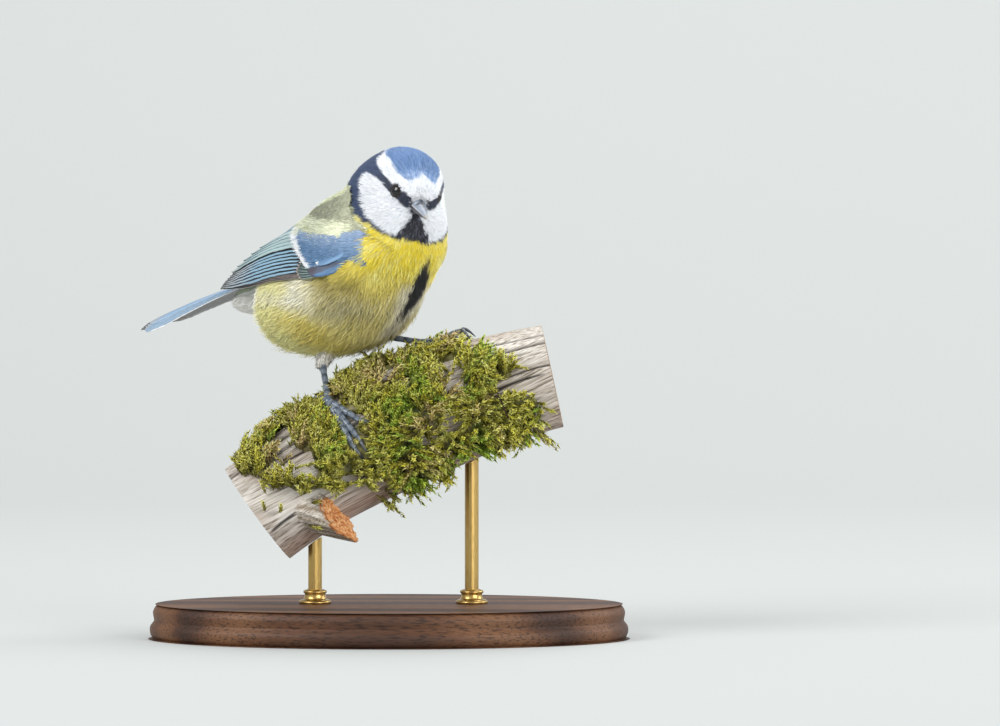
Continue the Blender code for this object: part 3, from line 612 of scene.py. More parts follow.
# Brass rod, brushed along its length and lacquered
BRASS = Mottled(
    "brushed_brass", ((0.3, "#a98a4e"), (0.7, "#c9aa68")),
    0.5, (0.2, 0.2, 4), 0, 5, 0.32, 0.01, 0.5, 0.15, 1.0, False
)


@dataclass(frozen=True)
class TurnedHardwood:
    """Dark hardwood turned and oiled: long grain with fine dark pores, under a satin finish."""

    name: str = "oiled_walnut"
    ring_mm: float = 2.6
    pore_deep: float = 0.03 * MM

    def make(self) -> Material:
        """Wavy bands along X for the grain, fine stretched noise for the pores."""
        finish = Finish(self.name)
        place = finish.add("Mapping", {"Vector": finish.place(), "Scale": (0.12, 1.0, 1.0)})[0]
        wave = {"Vector": place, "Scale": 50 / self.ring_mm, "Distortion": 9.0, "Detail": 4.0}
        bands = finish.add("TexWave", {**wave, "Detail Scale": 1.4}, bands_direction="Y")[1]
        pores = finish.noise(place, 2600.0, 3.0)
        grain = finish.ramp(bands, ((0.0, "#3b2417"), (0.5, "#573722"), (1.0, "#6d4a30")))
        dark = finish.ramp(pores, ((0.36, "#7a7068"), (0.5, WHITE)))
        colour = finish.mix(0.8, grain, dark, "MULTIPLY")
        values = {"Base Color": colour, "Roughness": 0.55, "Specular IOR Level": 0.35}
        return finish.done(values, pores, self.pore_deep)


@dataclass(frozen=True)
class PaperSweep:
    """Matt backdrop paper, pale and nearly even."""

    name: str = "backdrop_paper"
    tone: str = "#b3b6b4"

    def make(self) -> Material:
        """One tone, fully matt."""
        paper = {"Base Color": rgba(self.tone), "Roughness": 0.95, "Specular IOR Level": 0.1}
        return Finish(self.name).done(paper)


# Flesh and markings


@dataclass(frozen=True)
class Ellipsoid:
    """One soft form: its centre and half lengths in millimetres, nose up by a pitch."""

    centre: tuple[float, float, float]
    half: tuple[float, float, float]
    pitch: float = 0.0


BODY_FORMS = (
    Ellipsoid((7.8, 0, 9.4), (15.5, 14.2, 14.3), 20),
    Ellipsoid((-3, 0, -0.6), (20.7, 16.8, 12.9), 12),
    Ellipsoid((0, 0, 10.4), (19, 12, 10.8), 28),
    Ellipsoid((-18.9, 0, -0.1), (13, 6.5, 5.8), 12),
    Ellipsoid((-22.3, 0, -2.2), (13.9, 4.9, 3.1), 8),
    Ellipsoid((15.2, 0, 13.9), (10.9, 10.9, 10.2)),
    Ellipsoid((11.8, 0, 21.2), (9.5, 9.4, 9.7)),
)
HEAD_FORMS = (
    Ellipsoid((-1.5, 0, 0.8), (8.6, 9, 8.3)),
    Ellipsoid((2.1, 3.4, -3.8), (6.6, 5.3, 5.5)),
    Ellipsoid((2.1, -3.4, -3.8), (6.6, 5.3, 5.5)),
    Ellipsoid((7.1, 0, 1.8), (3.8, 5.3, 3.7)),
    Ellipsoid((5.9, 0, -4.5), (4.4, 4.5, 3.6)),
)
WING_FORM = Ellipsoid((-11.5, 0, 4.6), (28.6, 12.3, 8.5), 21)


class Flesh:
    """The smooth union of ellipsoids that the coat lies over, in the bird's frame.

    The distance to one ellipsoid is about k (k - 1) / m, where k is the length of the point over
    the half lengths and m its length over their squares. The union's is -b log(sum e^(-d / b)).
    """

    def __init__(self, with_wing_bed: bool = False, blend_mm: float = 1.1) -> None:
        """Places the forms of body and head, and the bed under the wings where asked."""
        body = BODY_FORMS + ((WING_FORM,) if with_wing_bed else ())
        forms = [
            (np.array(f.centre) * MM, np.array(f.half) * MM, Placement((0, 0, 0), 0, -f.pitch).turn())
            for f in body
        ]
        for f in HEAD_FORMS:
            forms.append((HEAD.out(np.array(f.centre) * MM), np.array(f.half) * MM, HEAD.turn()))
        self.forms = forms
        self.blend = blend_mm * MM

    def depth(self, points: Array) -> Array:
        """About how far points lie outside, and less than 0 inside."""
        total = 0.0
        for centre, half, axes in self.forms:
            local = (points - centre) @ axes
            near = np.linalg.norm(local / half, axis=-1)
            steep = np.linalg.norm(local / half**2, axis=-1)
            away = near * (near - 1) / np.maximum(steep, 1e-6)
            total = total + np.exp(np.clip(-away / self.blend, -60, 60))
        return -self.blend * np.log(np.maximum(total, 1e-26))

    def normal(self, points: Array) -> Array:
        """The way out of the surface, from differences of the depth over 0.1 mm each way."""
        steps = np.eye(3) * 0.1 * MM
        slopes = [self.depth(points + step) - self.depth(points - step) for step in steps]
        return unit(np.stack(slopes, -1))

    def settled(self, points: Array, out: Array | float, rounds: int = 2) -> Array:
        """Points moved along the way out until they lie at a depth."""
        for _ in range(rounds):
            points = points + self.normal(points) * (np.asarray(out) - self.depth(points))[..., None]
        return points

    def reach(self, starts: Array, rays: Array, out: Array | float = 0.0, rounds: int = 45) -> Array:
        """Length of each ray from inside the flesh to its surface, moved out by a distance."""
        lengths = np.zeros(rays.shape[:-1])
        for _ in range(rounds):
            lengths = lengths + 0.8 * (out - self.depth(starts + rays * lengths[..., None]))
        return lengths


@dataclass
class RingSurface:
    """The flesh seen as rings strung on a bent line from rump to head, with a fan at each end.

    A place on it is (u, v): u goes from the rump's pole at 0 to the face's at 1, and v once round
    from the back over the bird's left side.
    """

    flesh: Flesh
    spine: tuple = ((-17, 0, -0.5), (-2, 0, 1.5), (9, 0, 8), (15.5, 0, 18), (17.5, 0, 22))
    lean: tuple = (8, 18, 38, 56, 62)
    behind: float = 0.16
    ahead: float = 0.72
    span: tuple[float, float] = (0.004, 0.996)

    def rays(self, u: Array, v: Array) -> tuple[Array, Array]:
        """Start and direction of the ray to each place."""
        share = np.clip((u - self.behind) / (self.ahead - self.behind), 0, 1)
        knots = np.linspace(0, 1, len(self.spine))
        starts = along(knots, np.array(self.spine) * MM, share)
        lean = along(knots, np.radians(self.lean), share)
        tilt = np.where(u < self.behind, (u / self.behind - 1), 0) * math.pi / 2
        tilt = tilt + np.where(u > self.ahead, (u - self.ahead) / (1 - self.ahead), 0) * math.pi / 2
        onward = np.stack((np.cos(lean), 0 * lean, np.sin(lean)), -1)
        upward = np.stack((-np.sin(lean), 0 * lean, np.cos(lean)), -1)
        return starts, swung(tilt, swung(v * TAU, upward, np.array((0.0, 1.0, 0.0))), onward)

    def points(self, u: Array, v: Array, out: Array | float = 0.0) -> Array:
        """Points of the surface, moved out by a distance."""
        starts, rays = self.rays(u, v)
        return starts + rays * self.flesh.reach(starts, rays, out)[..., None]

    def scattered(self, count: int, weight, seed: int) -> tuple[Array, Array]:
        """Random places, as dense by area as a weight says.

        Args:
            count: how many.
            weight: function of points in the bird's frame that gives a relative density.
            seed: seed of the draw.

        Returns:
            The u and the v of each place.
        """
        rng = np.random.default_rng(seed)
        rows, columns = 150, 180
        u, v = np.meshgrid(np.linspace(*self.span, rows), np.linspace(0, 1, columns + 1), indexing="ij")
        grid = self.points(u, v)
        down = np.linalg.norm(np.diff(grid, axis=0), axis=-1)[:, :-1]
        across = np.linalg.norm(np.diff(grid, axis=1), axis=-1)[:-1]
        middle = (grid[:-1, :-1] + grid[1:, 1:]) / 2
        share = (down * across * weight(middle)).ravel()
        cells = rng.choice(share.size, count, p=share / share.sum())
        i, j = np.unravel_index(cells, down.shape)
        step = (self.span[1] - self.span[0]) / (rows - 1)
        return self.span[0] + (i + rng.random(count)) * step, (j + rng.random(count)) / columns


class Hue(str, Enum):
    """The plumage's colours, in daylight."""

    CAP = "#5a7cab"
    CAP_DEEP = "#426294"
    CAP_PALE = "#a9bddb"
    WHITE = "#f1f3f7"
    # painted shade: the white feathers as they look in the shade between them
    WHITE_SHADOWED = "#cdd5e0"
    STRIPE = "#353b4b"
    COLLAR = "#3f4f70"
    BIB = "#212229"
    BIB_GREY = "#5b5e69"
    MANTLE = "#c9cd9a"
    MANTLE_GREY = "#b6bda6"
    YELLOW = "#f0d636"
    YELLOW_PALE = "#f8f0a2"
    GOLD = "#dfc63e"
    OLIVE = "#cdbb4c"
    CREAM = "#f8f4dc"
    # painted shade: the cream flank as it looks in the shade between its strands
    CREAM_SHADOWED = "#bdb58c"
    LEMON = "#f8ee98"
    BELLY = "#bcb3a2"
    VENTRAL = "#232226"
    VENT = "#fdfcf0"
    RUMP = "#a9b89a"


class Markings:
    """Where each colour of the plumage lies.

    The head's marks are bands between heights that change with the turn from the bill, both
    seen from the middle of the head. The body's are soft regions of the bird's own frame.
    """

    COLLAR_EDGE = (
        (0, 10, 19, 27, 39, 50, 59, 69, 78, 86, 95, 103, 112, 140, 180),
        (-34, -34.6, -35.1, -34.8, -34, -33, -31.8, -30.6, -29.2, -26.9, -23.2, -18.6, -13.9, -11, -10),
    )
    CAP_EDGE = (
        (0, 8, 14, 22, 32, 45, 59, 74, 89, 105, 130, 180), (46, 42, 34, 27, 31, 36, 41, 44, 45, 45, 43, 40),
    )
    STRIPE_TOP = (
        (0, 9, 14, 20, 27, 47, 57, 71, 83, 97, 112, 180), (-1, 2, 6, 11, 14, 17, 21, 25, 27, 30, 32, 30),
    )
    STRIPE_LOW = (
        (0, 4, 8, 13, 21, 28, 40, 52, 63, 76, 88, 99, 180),
        (-14, -13, -10, -6, -5, -1, 2, 7.5, 13, 15, 15, 14, 6),
    )
    CHEEK_EDGE = (
        (0, 24, 34, 44, 55, 64, 72, 79, 86, 92, 98, 102, 105, 110),
        (-33.4, -33.4, -32.4, -31.2, -29.5, -28, -25.8, -22.4, -17.1, -9.7, -5, -0.7, 14, 40),
    )
    BIB_EDGE = ((4, 9, 13, 17, 21, 25.5, 29.5, 34), (3, 4.5, 6, 9, 11.5, 14.5, 18, 23))

    def __call__(self, points: Array) -> Array:
        """Linear colour of the plumage at points of the bird's frame."""
        ragged = points + 0.3 * MM * np.stack([cloud(points + k, 0.9 * MM) for k in (0.0, 0.3, 0.7)], -1)
        local = HEAD.into(ragged)
        turn, rise = self.bearings(local)
        collar = np.interp(turn, *self.COLLAR_EDGE)
        is_head = smooth(-0.6, 0.6, rise - collar)
        is_head = is_head * (local[..., 0] > -11.5 * MM)
        return blended(self.body(ragged), self.head(turn, rise, local), is_head)

    @staticmethod
    def bearings(local: Array) -> tuple[Array, Array]:
        """Turn from the bill and height above it, in degrees, of points of the head's frame."""
        shifted = local[..., 1] - 0.1 * np.maximum(local[..., 2], 0)
        flat = np.hypot(local[..., 0], shifted)
        round_it = np.degrees(np.arctan2(np.abs(shifted), local[..., 0]))
        return round_it, np.degrees(np.arctan2(local[..., 2], flat))

    @staticmethod
    def below_collar(points: Array, margin: float) -> Array:
        """Whether points of the bird's frame lie under the collar by some degrees."""
        turn, rise = Markings.bearings(HEAD.into(points))
        return rise < np.interp(turn, *Markings.COLLAR_EDGE) - margin

    @staticmethod
    def head(turn: Array, rise: Array, local: Array) -> Array:
        """Colour on the head, from its bearings."""
        marks = Markings
        cap, top = np.interp(turn, *marks.CAP_EDGE), np.interp(turn, *marks.STRIPE_TOP)
        low, cheek = np.interp(turn, *marks.STRIPE_LOW), np.interp(turn, *marks.CHEEK_EDGE)
        streak = 0.5 + 0.5 * cloud(local, 0.3 * MM)
        # painted shade: grey streaks for the shade between the white feathers
        white = blended(Hue.WHITE, Hue.WHITE_SHADOWED, 0.8 * streak**2)
        blue = blended(Hue.CAP, Hue.CAP_DEEP, 0.6 * smooth(0.55, 0.9, streak) * smooth(8, 40, turn))
        pale = smooth(0.35, 0.8, streak) * (0.2 + 0.6 * smooth(70, 42, rise + 0.25 * turn))
        blue = blended(blue, Hue.CAP_PALE, pale)
        forehead = blended(white, Hue.CAP_PALE, 0.45 * smooth(20, 46, rise) * smooth(28, 8, turn))
        soft = 2.0 + 5.0 * smooth(30, 8, turn)
        colour = blended(forehead, blue, smooth(-soft, soft, rise - cap + 5 * (streak - 0.5)))
        dark = blended(Hue.STRIPE, Hue.COLLAR, smooth(50, 90, turn) * (0.4 + 0.6 * streak))
        in_stripe = smooth(-1.5, 1.2, rise - low) * smooth(1.5, -1.2, rise - top) * smooth(2, 5, turn)
        colour = blended(colour, dark, in_stripe)
        nape = blended(Hue.COLLAR, Hue.STRIPE, 0.5 * streak + 0.4 * smooth(80, 55, turn))
        behind = smooth(101, 105, turn + 0.1 * rise) * smooth(1.5, -1.2, rise - top)
        colour = blended(colour, nape, np.maximum(behind, smooth(1.0, -0.8, rise - cheek)))
        pale_nape = smooth(165, 174, turn) * smooth(10, 2, rise) * smooth(-12, -6, rise)
        colour = blended(colour, white, 0.7 * pale_nape)
        black = blended(Hue.BIB, Hue.BIB_GREY, smooth(0.4, 0.9, streak))
        bib = turn - np.interp(-rise, *marks.BIB_EDGE) + 1 + 6 * (streak - 0.5)
        return blended(colour, black, smooth(1.2, -1.2, bib) * smooth(-6, -9, rise))

    @staticmethod
    def body(points: Array) -> Array:
        """Colour on neck, back, breast, flanks and rump, in the bird's frame."""
        x, y, z = (points[..., i] / MM for i in range(3))
        side = np.degrees(np.arctan2(z - 1 - 0.12 * x, np.abs(y)))
        streak = 0.5 + 0.5 * cloud(points, 0.32 * MM)
        broad = 0.5 + 0.5 * cloud(points * (0.6, 1, 1), 3.6 * MM)
        mixed = 0.6 * streak + 0.4 * broad
        # painted shade: grey-ish streaks for the shadows between the flank's strands
        flank = blended(Hue.CREAM, Hue.CREAM_SHADOWED, 0.55 * streak**2)
        olive = smooth(-4, 9, x + 5 * (broad - 0.5)) * smooth(9, 4, z) * (0.35 + 0.65 * mixed)
        colour = blended(flank, Hue.OLIVE, olive)
        patch = smooth(-2, -7.5, x + 3 * (broad - 0.5)) * smooth(-4, 0, z)
        colour = blended(colour, Hue.LEMON, patch * (0.4 + 0.6 * mixed))
        line = np.interp(
            x, (-14.4, -8.4, -3.5, 1.3, 3.9, 6.8, 10.7), (-2.3, -3.8, -5.0, -6.0, -7.0, -8.6, -7.5)
        )
        low = smooth(2.5, -2.5, z - line + 4 * (broad - 0.5)) * np.interp(x, (-16, 2, 8), (0.9, 0.85, 0.3))
        golden = blended(Hue.GOLD, Hue.LEMON, smooth(0.35, 0.85, mixed + 0.35 * smooth(1, -11, x)))
        colour = blended(colour, golden, low)
        line = np.interp(x, (5, 8.5, 12, 16, 18.5, 21), (5.4, 4.2, 3.1, 2.0, 1.3, 1.5))
        above = z - line + 3.0 * (streak - 0.5) + 2.0 * (broad - 0.5)
        fading = smooth(-8.0, 0.5, above) * smooth(1.5, 6.5, x)
        colour = blended(colour, blended(Hue.GOLD, Hue.OLIVE, mixed), 0.75 * fading)
        yellow = blended(Hue.YELLOW, Hue.YELLOW_PALE, 0.85 * smooth(0.3, 0.85, mixed))
        yellow = blended(yellow, Hue.YELLOW_PALE, 0.6 * smooth(17, 13, x) * smooth(8, 13, z))
        colour = blended(colour, yellow, smooth(-3.5, 4.5, above) * smooth(4.0, 7.5, x))
        near = np.interp(
            z, (-8, -6, -4, -1.7, 0.7, 3.5, 5.8, 8), (0.9, 0.5, -0.1, -0.3, -1.0, -1.1, -0.9, -0.3)
        )
        far = np.interp(
            z, (-8, -7, -5.4, -3.8, -2, 0.4, 2.8, 5.2, 8), (1.6, 2.4, 3.0, 4.7, 5.4, 4.6, 3.8, 1.8, 0.3)
        )
        # painted shade: the middle of the breast and flank darkened by up to 0.48 of its colour
        breast_shadow = smooth(1.0, 6.0, x + 2 * (broad - 0.5)) * smooth(16, 11, x)
        breast_shadow = breast_shadow * smooth(-9, -5, z) * smooth(7, 1.5, z)
        colour = colour * (1 - (0.28 + 0.2 * streak) * breast_shadow)[..., None]
        front = smooth(7, 11, x)
        outside = np.maximum(near - y, y - far)
        belly = blended(Hue.CREAM, Hue.BELLY, mixed)
        pale = smooth(5.0, 1.0, outside) * front * smooth(3.0, -0.5, z + 2 * (broad - 0.5))
        colour = blended(colour, belly, 0.85 * pale)
        black = smooth(0.5, -0.5, outside + 1.3 * (streak - 0.5)) * front
        black = black * smooth(9.5, 5, z + 3 * (streak - 0.5))
        colour = blended(colour, Hue.VENTRAL, black * smooth(-10, -7.5, z))
        vent = smooth(-16, -21, x) * smooth(40, 20, side)
        colour = blended(colour, Hue.VENT, vent)
        back = np.interp(x, (-30, -14, -2, 6, 11, 14, 17), (12, 20, 22, 28, 38, 44, 50))
        nape = np.interp(z, (1.5, 8, 14, 18, 23), (-2, 9, 12.0, 12.0, 13.0))
        behind = smooth(1.0, -1.0, x - nape + 1.5 * (streak - 0.5))
        green = blended(Hue.MANTLE, Hue.MANTLE_GREY, np.clip(0.5 * streak + 0.5 * (broad - 0.3), 0, 1))
        # painted light: the mantle made up to 0.16 lighter towards the neck, lifting the shade of the hollow
        # there
        green = green * (1 + 0.16 * smooth(2, 9, x))[..., None]
        green = blended(green, Hue.RUMP, smooth(-10, -22, x))
        behind = np.maximum(behind, smooth(11.0, 9.5, x))
        return blended(colour, green, smooth(-2.5, 2.5, side - back) * behind)


class Feathering:
    """How the coat lies: its depth, length, breadth and direction over the bird."""

    def __init__(self, flesh: Flesh) -> None:
        """Keeps the flesh that the coat lies over."""
        self.flesh = flesh

    @staticmethod
    def headness(points: Array) -> Array:
        """1 on the head, 0 on the body, with a soft change across the collar."""
        local = HEAD.into(points) / MM
        return smooth(-11.5, -7.0, local[..., 2] + 0.35 * local[..., 0])

    def depth(self, points: Array) -> Array:
        """Coat depth: 0.35 mm at the bill, 0.9 mm on the head, 1.7 mm on the body, less by the eyes."""
        head = self.headness(points)
        from_bill = np.linalg.norm(points - HEAD.out(np.array((10.5, 0, 0)) * MM), axis=-1) / MM
        face = (0.35 + 0.6 * smooth(2, 9, from_bill)) * (0.25 + 0.75 * smooth(1.5, 3.6, Eyes.away(points)))
        return (face * head + 1.7 * (1 - head)) * MM

    def flow(self, points: Array, normals: Array) -> Array:
        """Lie of the feathers: away from the bill on the head, then back and down the body.

        On the body it runs against the spine, whose slope changes from 62 degrees at the neck to
        8 at the rump, with a little fall towards the belly.
        """
        head = self.headness(points)[..., None]
        away = points - HEAD.out(np.array((13.0, 0, 1.5)) * MM)
        x = points[..., 0] / MM
        slope = np.radians(np.interp(x, (-17, -2, 9, 15, 20), (8, 16, 34, 60, 76)))
        slope = slope * np.where(points[..., 2] / MM > 0.9 * x + 6, 0.75, 1.0)
        back = np.stack((-np.cos(slope), 0 * slope, -np.sin(slope)), -1)
        low = smooth(10, -2, points[..., 2] / MM) * smooth(0.2, 0.9, np.abs(normals[..., 1]))
        back = back + np.stack((0 * x, 0 * x, -0.45 * low), -1)
        return flattened(unit(away) * head + back * (1 - head), normals)


@dataclass
class Tufts:
    """A growth of small feathers, each a fan of tapering strands from one root.

    Every array has one row for each tuft, and a single number holds for all of them.
    """

    roots: Array
    lie: Array
    length: Array
    breadth: float | Array
    under: float | Array
    over: float | Array
    colours: Array | Callable[[Array], Array]
    spots: Array
    strands: int = 6
    splay: float = 0.45
    width: float = 0.22 * MM
    loft: float | Array = 0.12 * MM
    streak: float = 0.07
    seed: int = 1
    normals: Array | None = None
    frame: Placement = BIRD
    crown: float = 0.38

    def grow(
        self, name: str, slot: str, material: Material, nodes: tuple[str, ...], flesh: Flesh | None = None
    ) -> None:
        """Builds and dresses the strands.

        A strand is a spindle: it leaves its root under the coat, comes up to the coat's surface
        at 0.38 of its length, where it is widest, and lies along it to its point, bent with the
        flesh below. Its section is a flat triangle. It is shaded by the way out of the coat,
        turned a little to each side, as a web of fine barbs is.

        Args:
            name: what the pieces are named for.
            slot: not used.
            material: their finish.
            nodes: the solids that they stand for.
            flesh: the surface that the strands bend with, if any; without it they keep the
                normals given for the roots.
        """
        rng = np.random.default_rng(self.seed)
        count, rest = len(self.roots), 1 - self.crown
        spread = (self.breadth, self.under, self.over)
        breadth, under, over = (np.broadcast_to(value, count)[:, None] for value in spread)
        fan = np.linspace(-1, 1, self.strands) + rng.normal(0, 0.28, (count, self.strands))
        normal = flesh.normal(self.roots) if flesh else self.normals
        lie = flattened(self.lie, normal)
        aside = np.cross(normal, lie)
        way = swung(fan * self.splay, lie[:, None], aside[:, None])
        length = self.length[:, None] * (1 - 0.2 * np.minimum(fan**2, 2)) * rng.uniform(0.7, 1.2, fan.shape)
        length = length[..., None]
        start = self.roots[:, None] + aside[:, None] * (fan * breadth * 0.4)[..., None]
        start = start - lie[:, None] * rng.uniform(0, 0.35, fan.shape)[..., None] * length
        top = over + self.loft * rng.normal(0, 1, fan.shape)
        middle, out = start + way * length * self.crown, normal[:, None] + 0 * start
        tip = middle + way * length * rest
        if flesh:
            middle = flesh.settled(middle, under + (top - under) * 0.85, 1)
            out = flesh.normal(middle)
            tip = flesh.settled(middle + flattened(middle - start, out) * length * rest, top, 1)
        across = unit(np.cross(tip - start, out))
        half = (self.width * rng.uniform(0.6, 1.3, fan.shape))[..., None] / 2
        sides = (middle + across * half * sign - out * half * 0.2 for sign in (-1, 1))
        points = np.stack((start, *sides, middle + out * half * 0.4, tip), 2)
        lean = 0.14 * rng.normal(0, 1, out.shape)
        normals = np.stack((out, out - 0.35 * across, out + 0.35 * across, out, out), 2) + lean[:, :, None]
        one = np.array(((1, 2, 0), (2, 3, 0), (3, 1, 0), (2, 1, 4), (3, 2, 4), (1, 3, 4)))
        tone = rng.normal(1, 0.06, (count, 1)) * rng.normal(1, self.streak, fan.shape)
        if callable(self.colours):
            own = self.colours(tip * 0.6 + middle * 0.4)
        else:
            own = self.colours[:, None] + 0 * start
        # painted shade and light along each strand: its colour times 0.5 at the root, deep in the coat, 0.93
        # at its crown and 1.12 at its tip
        shade = own[:, :, None] * (tone[..., None] * np.array((0.5, 0.93, 0.93, 0.93, 1.12)))[..., None]
        spot = np.broadcast_to(self.spots[:, None, None], (count, self.strands, 5, 2)).copy()
        spot[..., 0] += np.array((0, self.crown, self.crown, self.crown, 1)) * PATCH
        spot[..., 1] += np.linspace(0, PATCH, self.strands)[:, None]
        points, shade, spot = (part.reshape(count, self.strands * 5, -1) for part in (points, shade, spot))
        normals = unit(normals.reshape(*points.shape)) @ self.frame.turn().T
        many = tiled(one, 5, self.strands)
        for piece in swarm(name, self.frame.out(points), many, shade, spot, normals):
            dress(piece, slot, material, *nodes)


# The bird's pieces


@dataclass
class Skin:
    """One closed skin for head, neck and body, sunk by the coat's depth, in the plumage's colours dimmed as
    painted shade under the coat.
    """

    rings: int = 120
    around: int = 140
    dim: float = 0.62

    def build(self, surface: RingSurface, lie: "Feathering", marks: Markings, material: Material) -> None:
        """Reads the surface on a grid, sinks it, closes its poles and dresses it.

        Args:
            surface: the rings over the flesh.
            lie: gives the coat's depth at a point.
            marks: gives the colour at a point.
            material: the downy finish.
        """
        u = np.linspace(*surface.span, self.rings)
        u, v = np.meshgrid(u, np.arange(self.around) / self.around, indexing="ij")
        top = surface.points(u, v)
        low = surface.points(u, v, -lie.depth(top))
        points, faces = capped_tube(low)
        # painted shade: the plumage's colours dimmed to 0.62, as the shade deep in the coat
        colours = marks(top) * self.dim
        shade = np.concatenate((colours.reshape(-1, 3), colours[0].mean(0)[None], colours[-1].mean(0)[None]))
        spots = np.concatenate((np.stack((u, v), -1).reshape(-1, 2), ((0.0, 0.5), (1.0, 0.5))))
        skin = solid("skin", BIRD.out(points), faces, shade)
        map_points(skin.data, "OFBake", spots)
        dress(skin, "body_feathers", material, "head", "neck", "torso")


@dataclass
class Coat:
    """The small feathers of head, body, scapulars and lesser coverts, as tufts of fine barbs."""

    head_count: int = 9600
    body_count: int = 10400
    shoulder_count: int = 620
    seed: int = 5

    def build(self, surface: RingSurface, wings: "Wings", material: Material) -> None:
        """Grows the coat of the head, then of the body, then what lies over the wings.

        Args:
            surface: the rings over the flesh.
            wings: says what the folded wings cover.
            material: the downy finish.
        """
        flesh, marks = surface.flesh, Markings()
        lie = Feathering(flesh)

        def open_skin(points: Array) -> Array:
            """0 on the eyes, under the bill's root and under the wings, 1 elsewhere."""
            share = (1.0 - wings.covers(points)) * (Eyes.away(points) > 1.5)
            x, y, z = np.moveaxis(HEAD.into(points) / MM, -1, 0)
            return share * ((x < 8.3) | (np.abs(z + 0.2) > 2.2) | (np.abs(y) > 2.2))

        def on_head(points: Array) -> Array:
            """The head's share, denser on the face."""
            face = smooth(3, 8, HEAD.into(points)[..., 0] / MM)
            return open_skin(points) * lie.headness(points) * (1 + 1.2 * face)

        def on_body(points: Array) -> Array:
            """The body's share."""
            return open_skin(points) * (1 - lie.headness(points))

        u, v = surface.scattered(self.head_count, on_head, self.seed)
        roots = surface.points(u, v)
        from_bill = np.linalg.norm(roots - HEAD.out(np.array((10.0, 0, 0)) * MM), axis=-1) / MM
        size, deep = smooth(1.5, 13, from_bill), lie.depth(roots)
        ways = self.round_eyes(roots, lie.flow(roots, flesh.normal(roots)))
        length = (1.1 + 1.9 * size) * (0.45 + 0.55 * smooth(1.5, 4.0, Eyes.away(roots))) * MM
        Tufts(
            flesh.settled(roots, -deep), ways, length, (0.7 + 0.7 * size) * MM, -deep, 0.05 * MM, marks,
            np.stack((u, v), -1), splay=0.3, width=0.15 * MM, loft=0.1 * MM, streak=0.09, seed=self.seed,
        ).grow("head_coat", "head_feathers", material, ("head",), flesh)
        u, v = surface.scattered(self.body_count, on_body, self.seed + 1)
        roots = surface.points(u, v)
        deep, x, z = lie.depth(roots), roots[:, 0] / MM, roots[:, 2] / MM
        low = smooth(2, -10, z) * smooth(-19, -14, x)
        hind = smooth(-8, -14, x) * smooth(-19, -16, x) * smooth(8, 3, z)
        Tufts(
            flesh.settled(roots, -deep), lie.flow(roots, flesh.normal(roots)),
            (3.2 + 1.5 * smooth(18, -8, x) + 1.2 * low) * MM, 2.0 * MM, -deep,
            (0.05 + 0.6 * low + 0.7 * hind) * MM,
            marks, np.stack((u, v), -1), strands=9, splay=0.34, width=0.17 * MM,
            loft=(0.28 + 0.5 * low)[:, None] * MM, streak=0.15, seed=self.seed + 1,
        ).grow("body_coat", "body_feathers", material, ("torso", "neck"), flesh)
        self.shoulders(wings, material)

    def shoulders(self, wings: "Wings", material: Material) -> None:
        """Breast feathers that lie back over the front of each folded wing, in a ragged edge."""
        rng = np.random.default_rng(self.seed + 2)
        angle = rng.uniform(5, 42, self.shoulder_count)
        edge = np.interp(angle, (5, 11, 17, 23, 29, 37, 42), (6.5, 8.6, 10.7, 12.4, 14.2, 15.0, 14.0))
        ahead = rng.uniform(2.4, 6.2, self.shoulder_count)
        x = (edge + ahead) * MM
        starts, rays = wings.rays(x, np.radians(angle))
        roots = starts + rays * wings.flesh.reach(starts, rays)[:, None]
        free = Markings.below_collar(roots, 6)
        roots, x, angle, over = roots[free], x[free], angle[free], (1.7 - 0.38 * (ahead[free] - 2.4)) * MM
        for side, hand in SIDES:
            spots = np.stack((0.55 + x * 6, 0.3 + angle / 300 + (0.3 if side > 0 else 0)), -1)
            Tufts(
                roots * (1, -side, 1), np.tile((-1.0, 0.0, -0.55), (len(x), 1)),
                rng.uniform(2.8, 4.0, len(x)) * MM,
                1.8 * MM, -0.2 * MM, over, Markings(), spots, strands=10, splay=0.34, width=0.16 * MM,
                loft=0.22 * MM, seed=self.seed + 3,
            ).grow(f"shoulder_coat_{hand}", "body_feathers", material, ("torso", "neck"), wings.flesh)

    @staticmethod
    def round_eyes(roots: Array, ways: Array) -> Array:
        """Turns the lie away from each eye where it is near, so that the lids stay free."""
        for eye in Eyes.fronts():
            away = roots - eye
            near = smooth(3.4, 1.6, np.linalg.norm(away, axis=-1) / MM)
            ways = ways + unit(away) * (1.3 * near)[:, None]
        return unit(ways)


@dataclass(frozen=True)
class Tier:
    """A row of like flight feathers or coverts.

    Each tuple of numbers is for its first, middle and last feather, or for all of them. Lifts are
    how far a feather's under side stands off the bed: at the root, at the low edge and at the high
    edge. Colours are for the outer edge, the web and the end of the web.
    """

    name: str
    count: int
    root_x: tuple[float, ...]
    tip_x: tuple[float, ...]
    root_share: tuple[float, ...]
    tip_share: tuple[float, ...]
    width: float
    root_lift: float
    low_lift: tuple[float, ...]
    high_lift: tuple[float, ...]
    edge: str
    web: str
    end: str
    end_mm: float = 1.2
    blunt: float = 5.0
    late: float = 1.3
    edge_share: float = 0.3


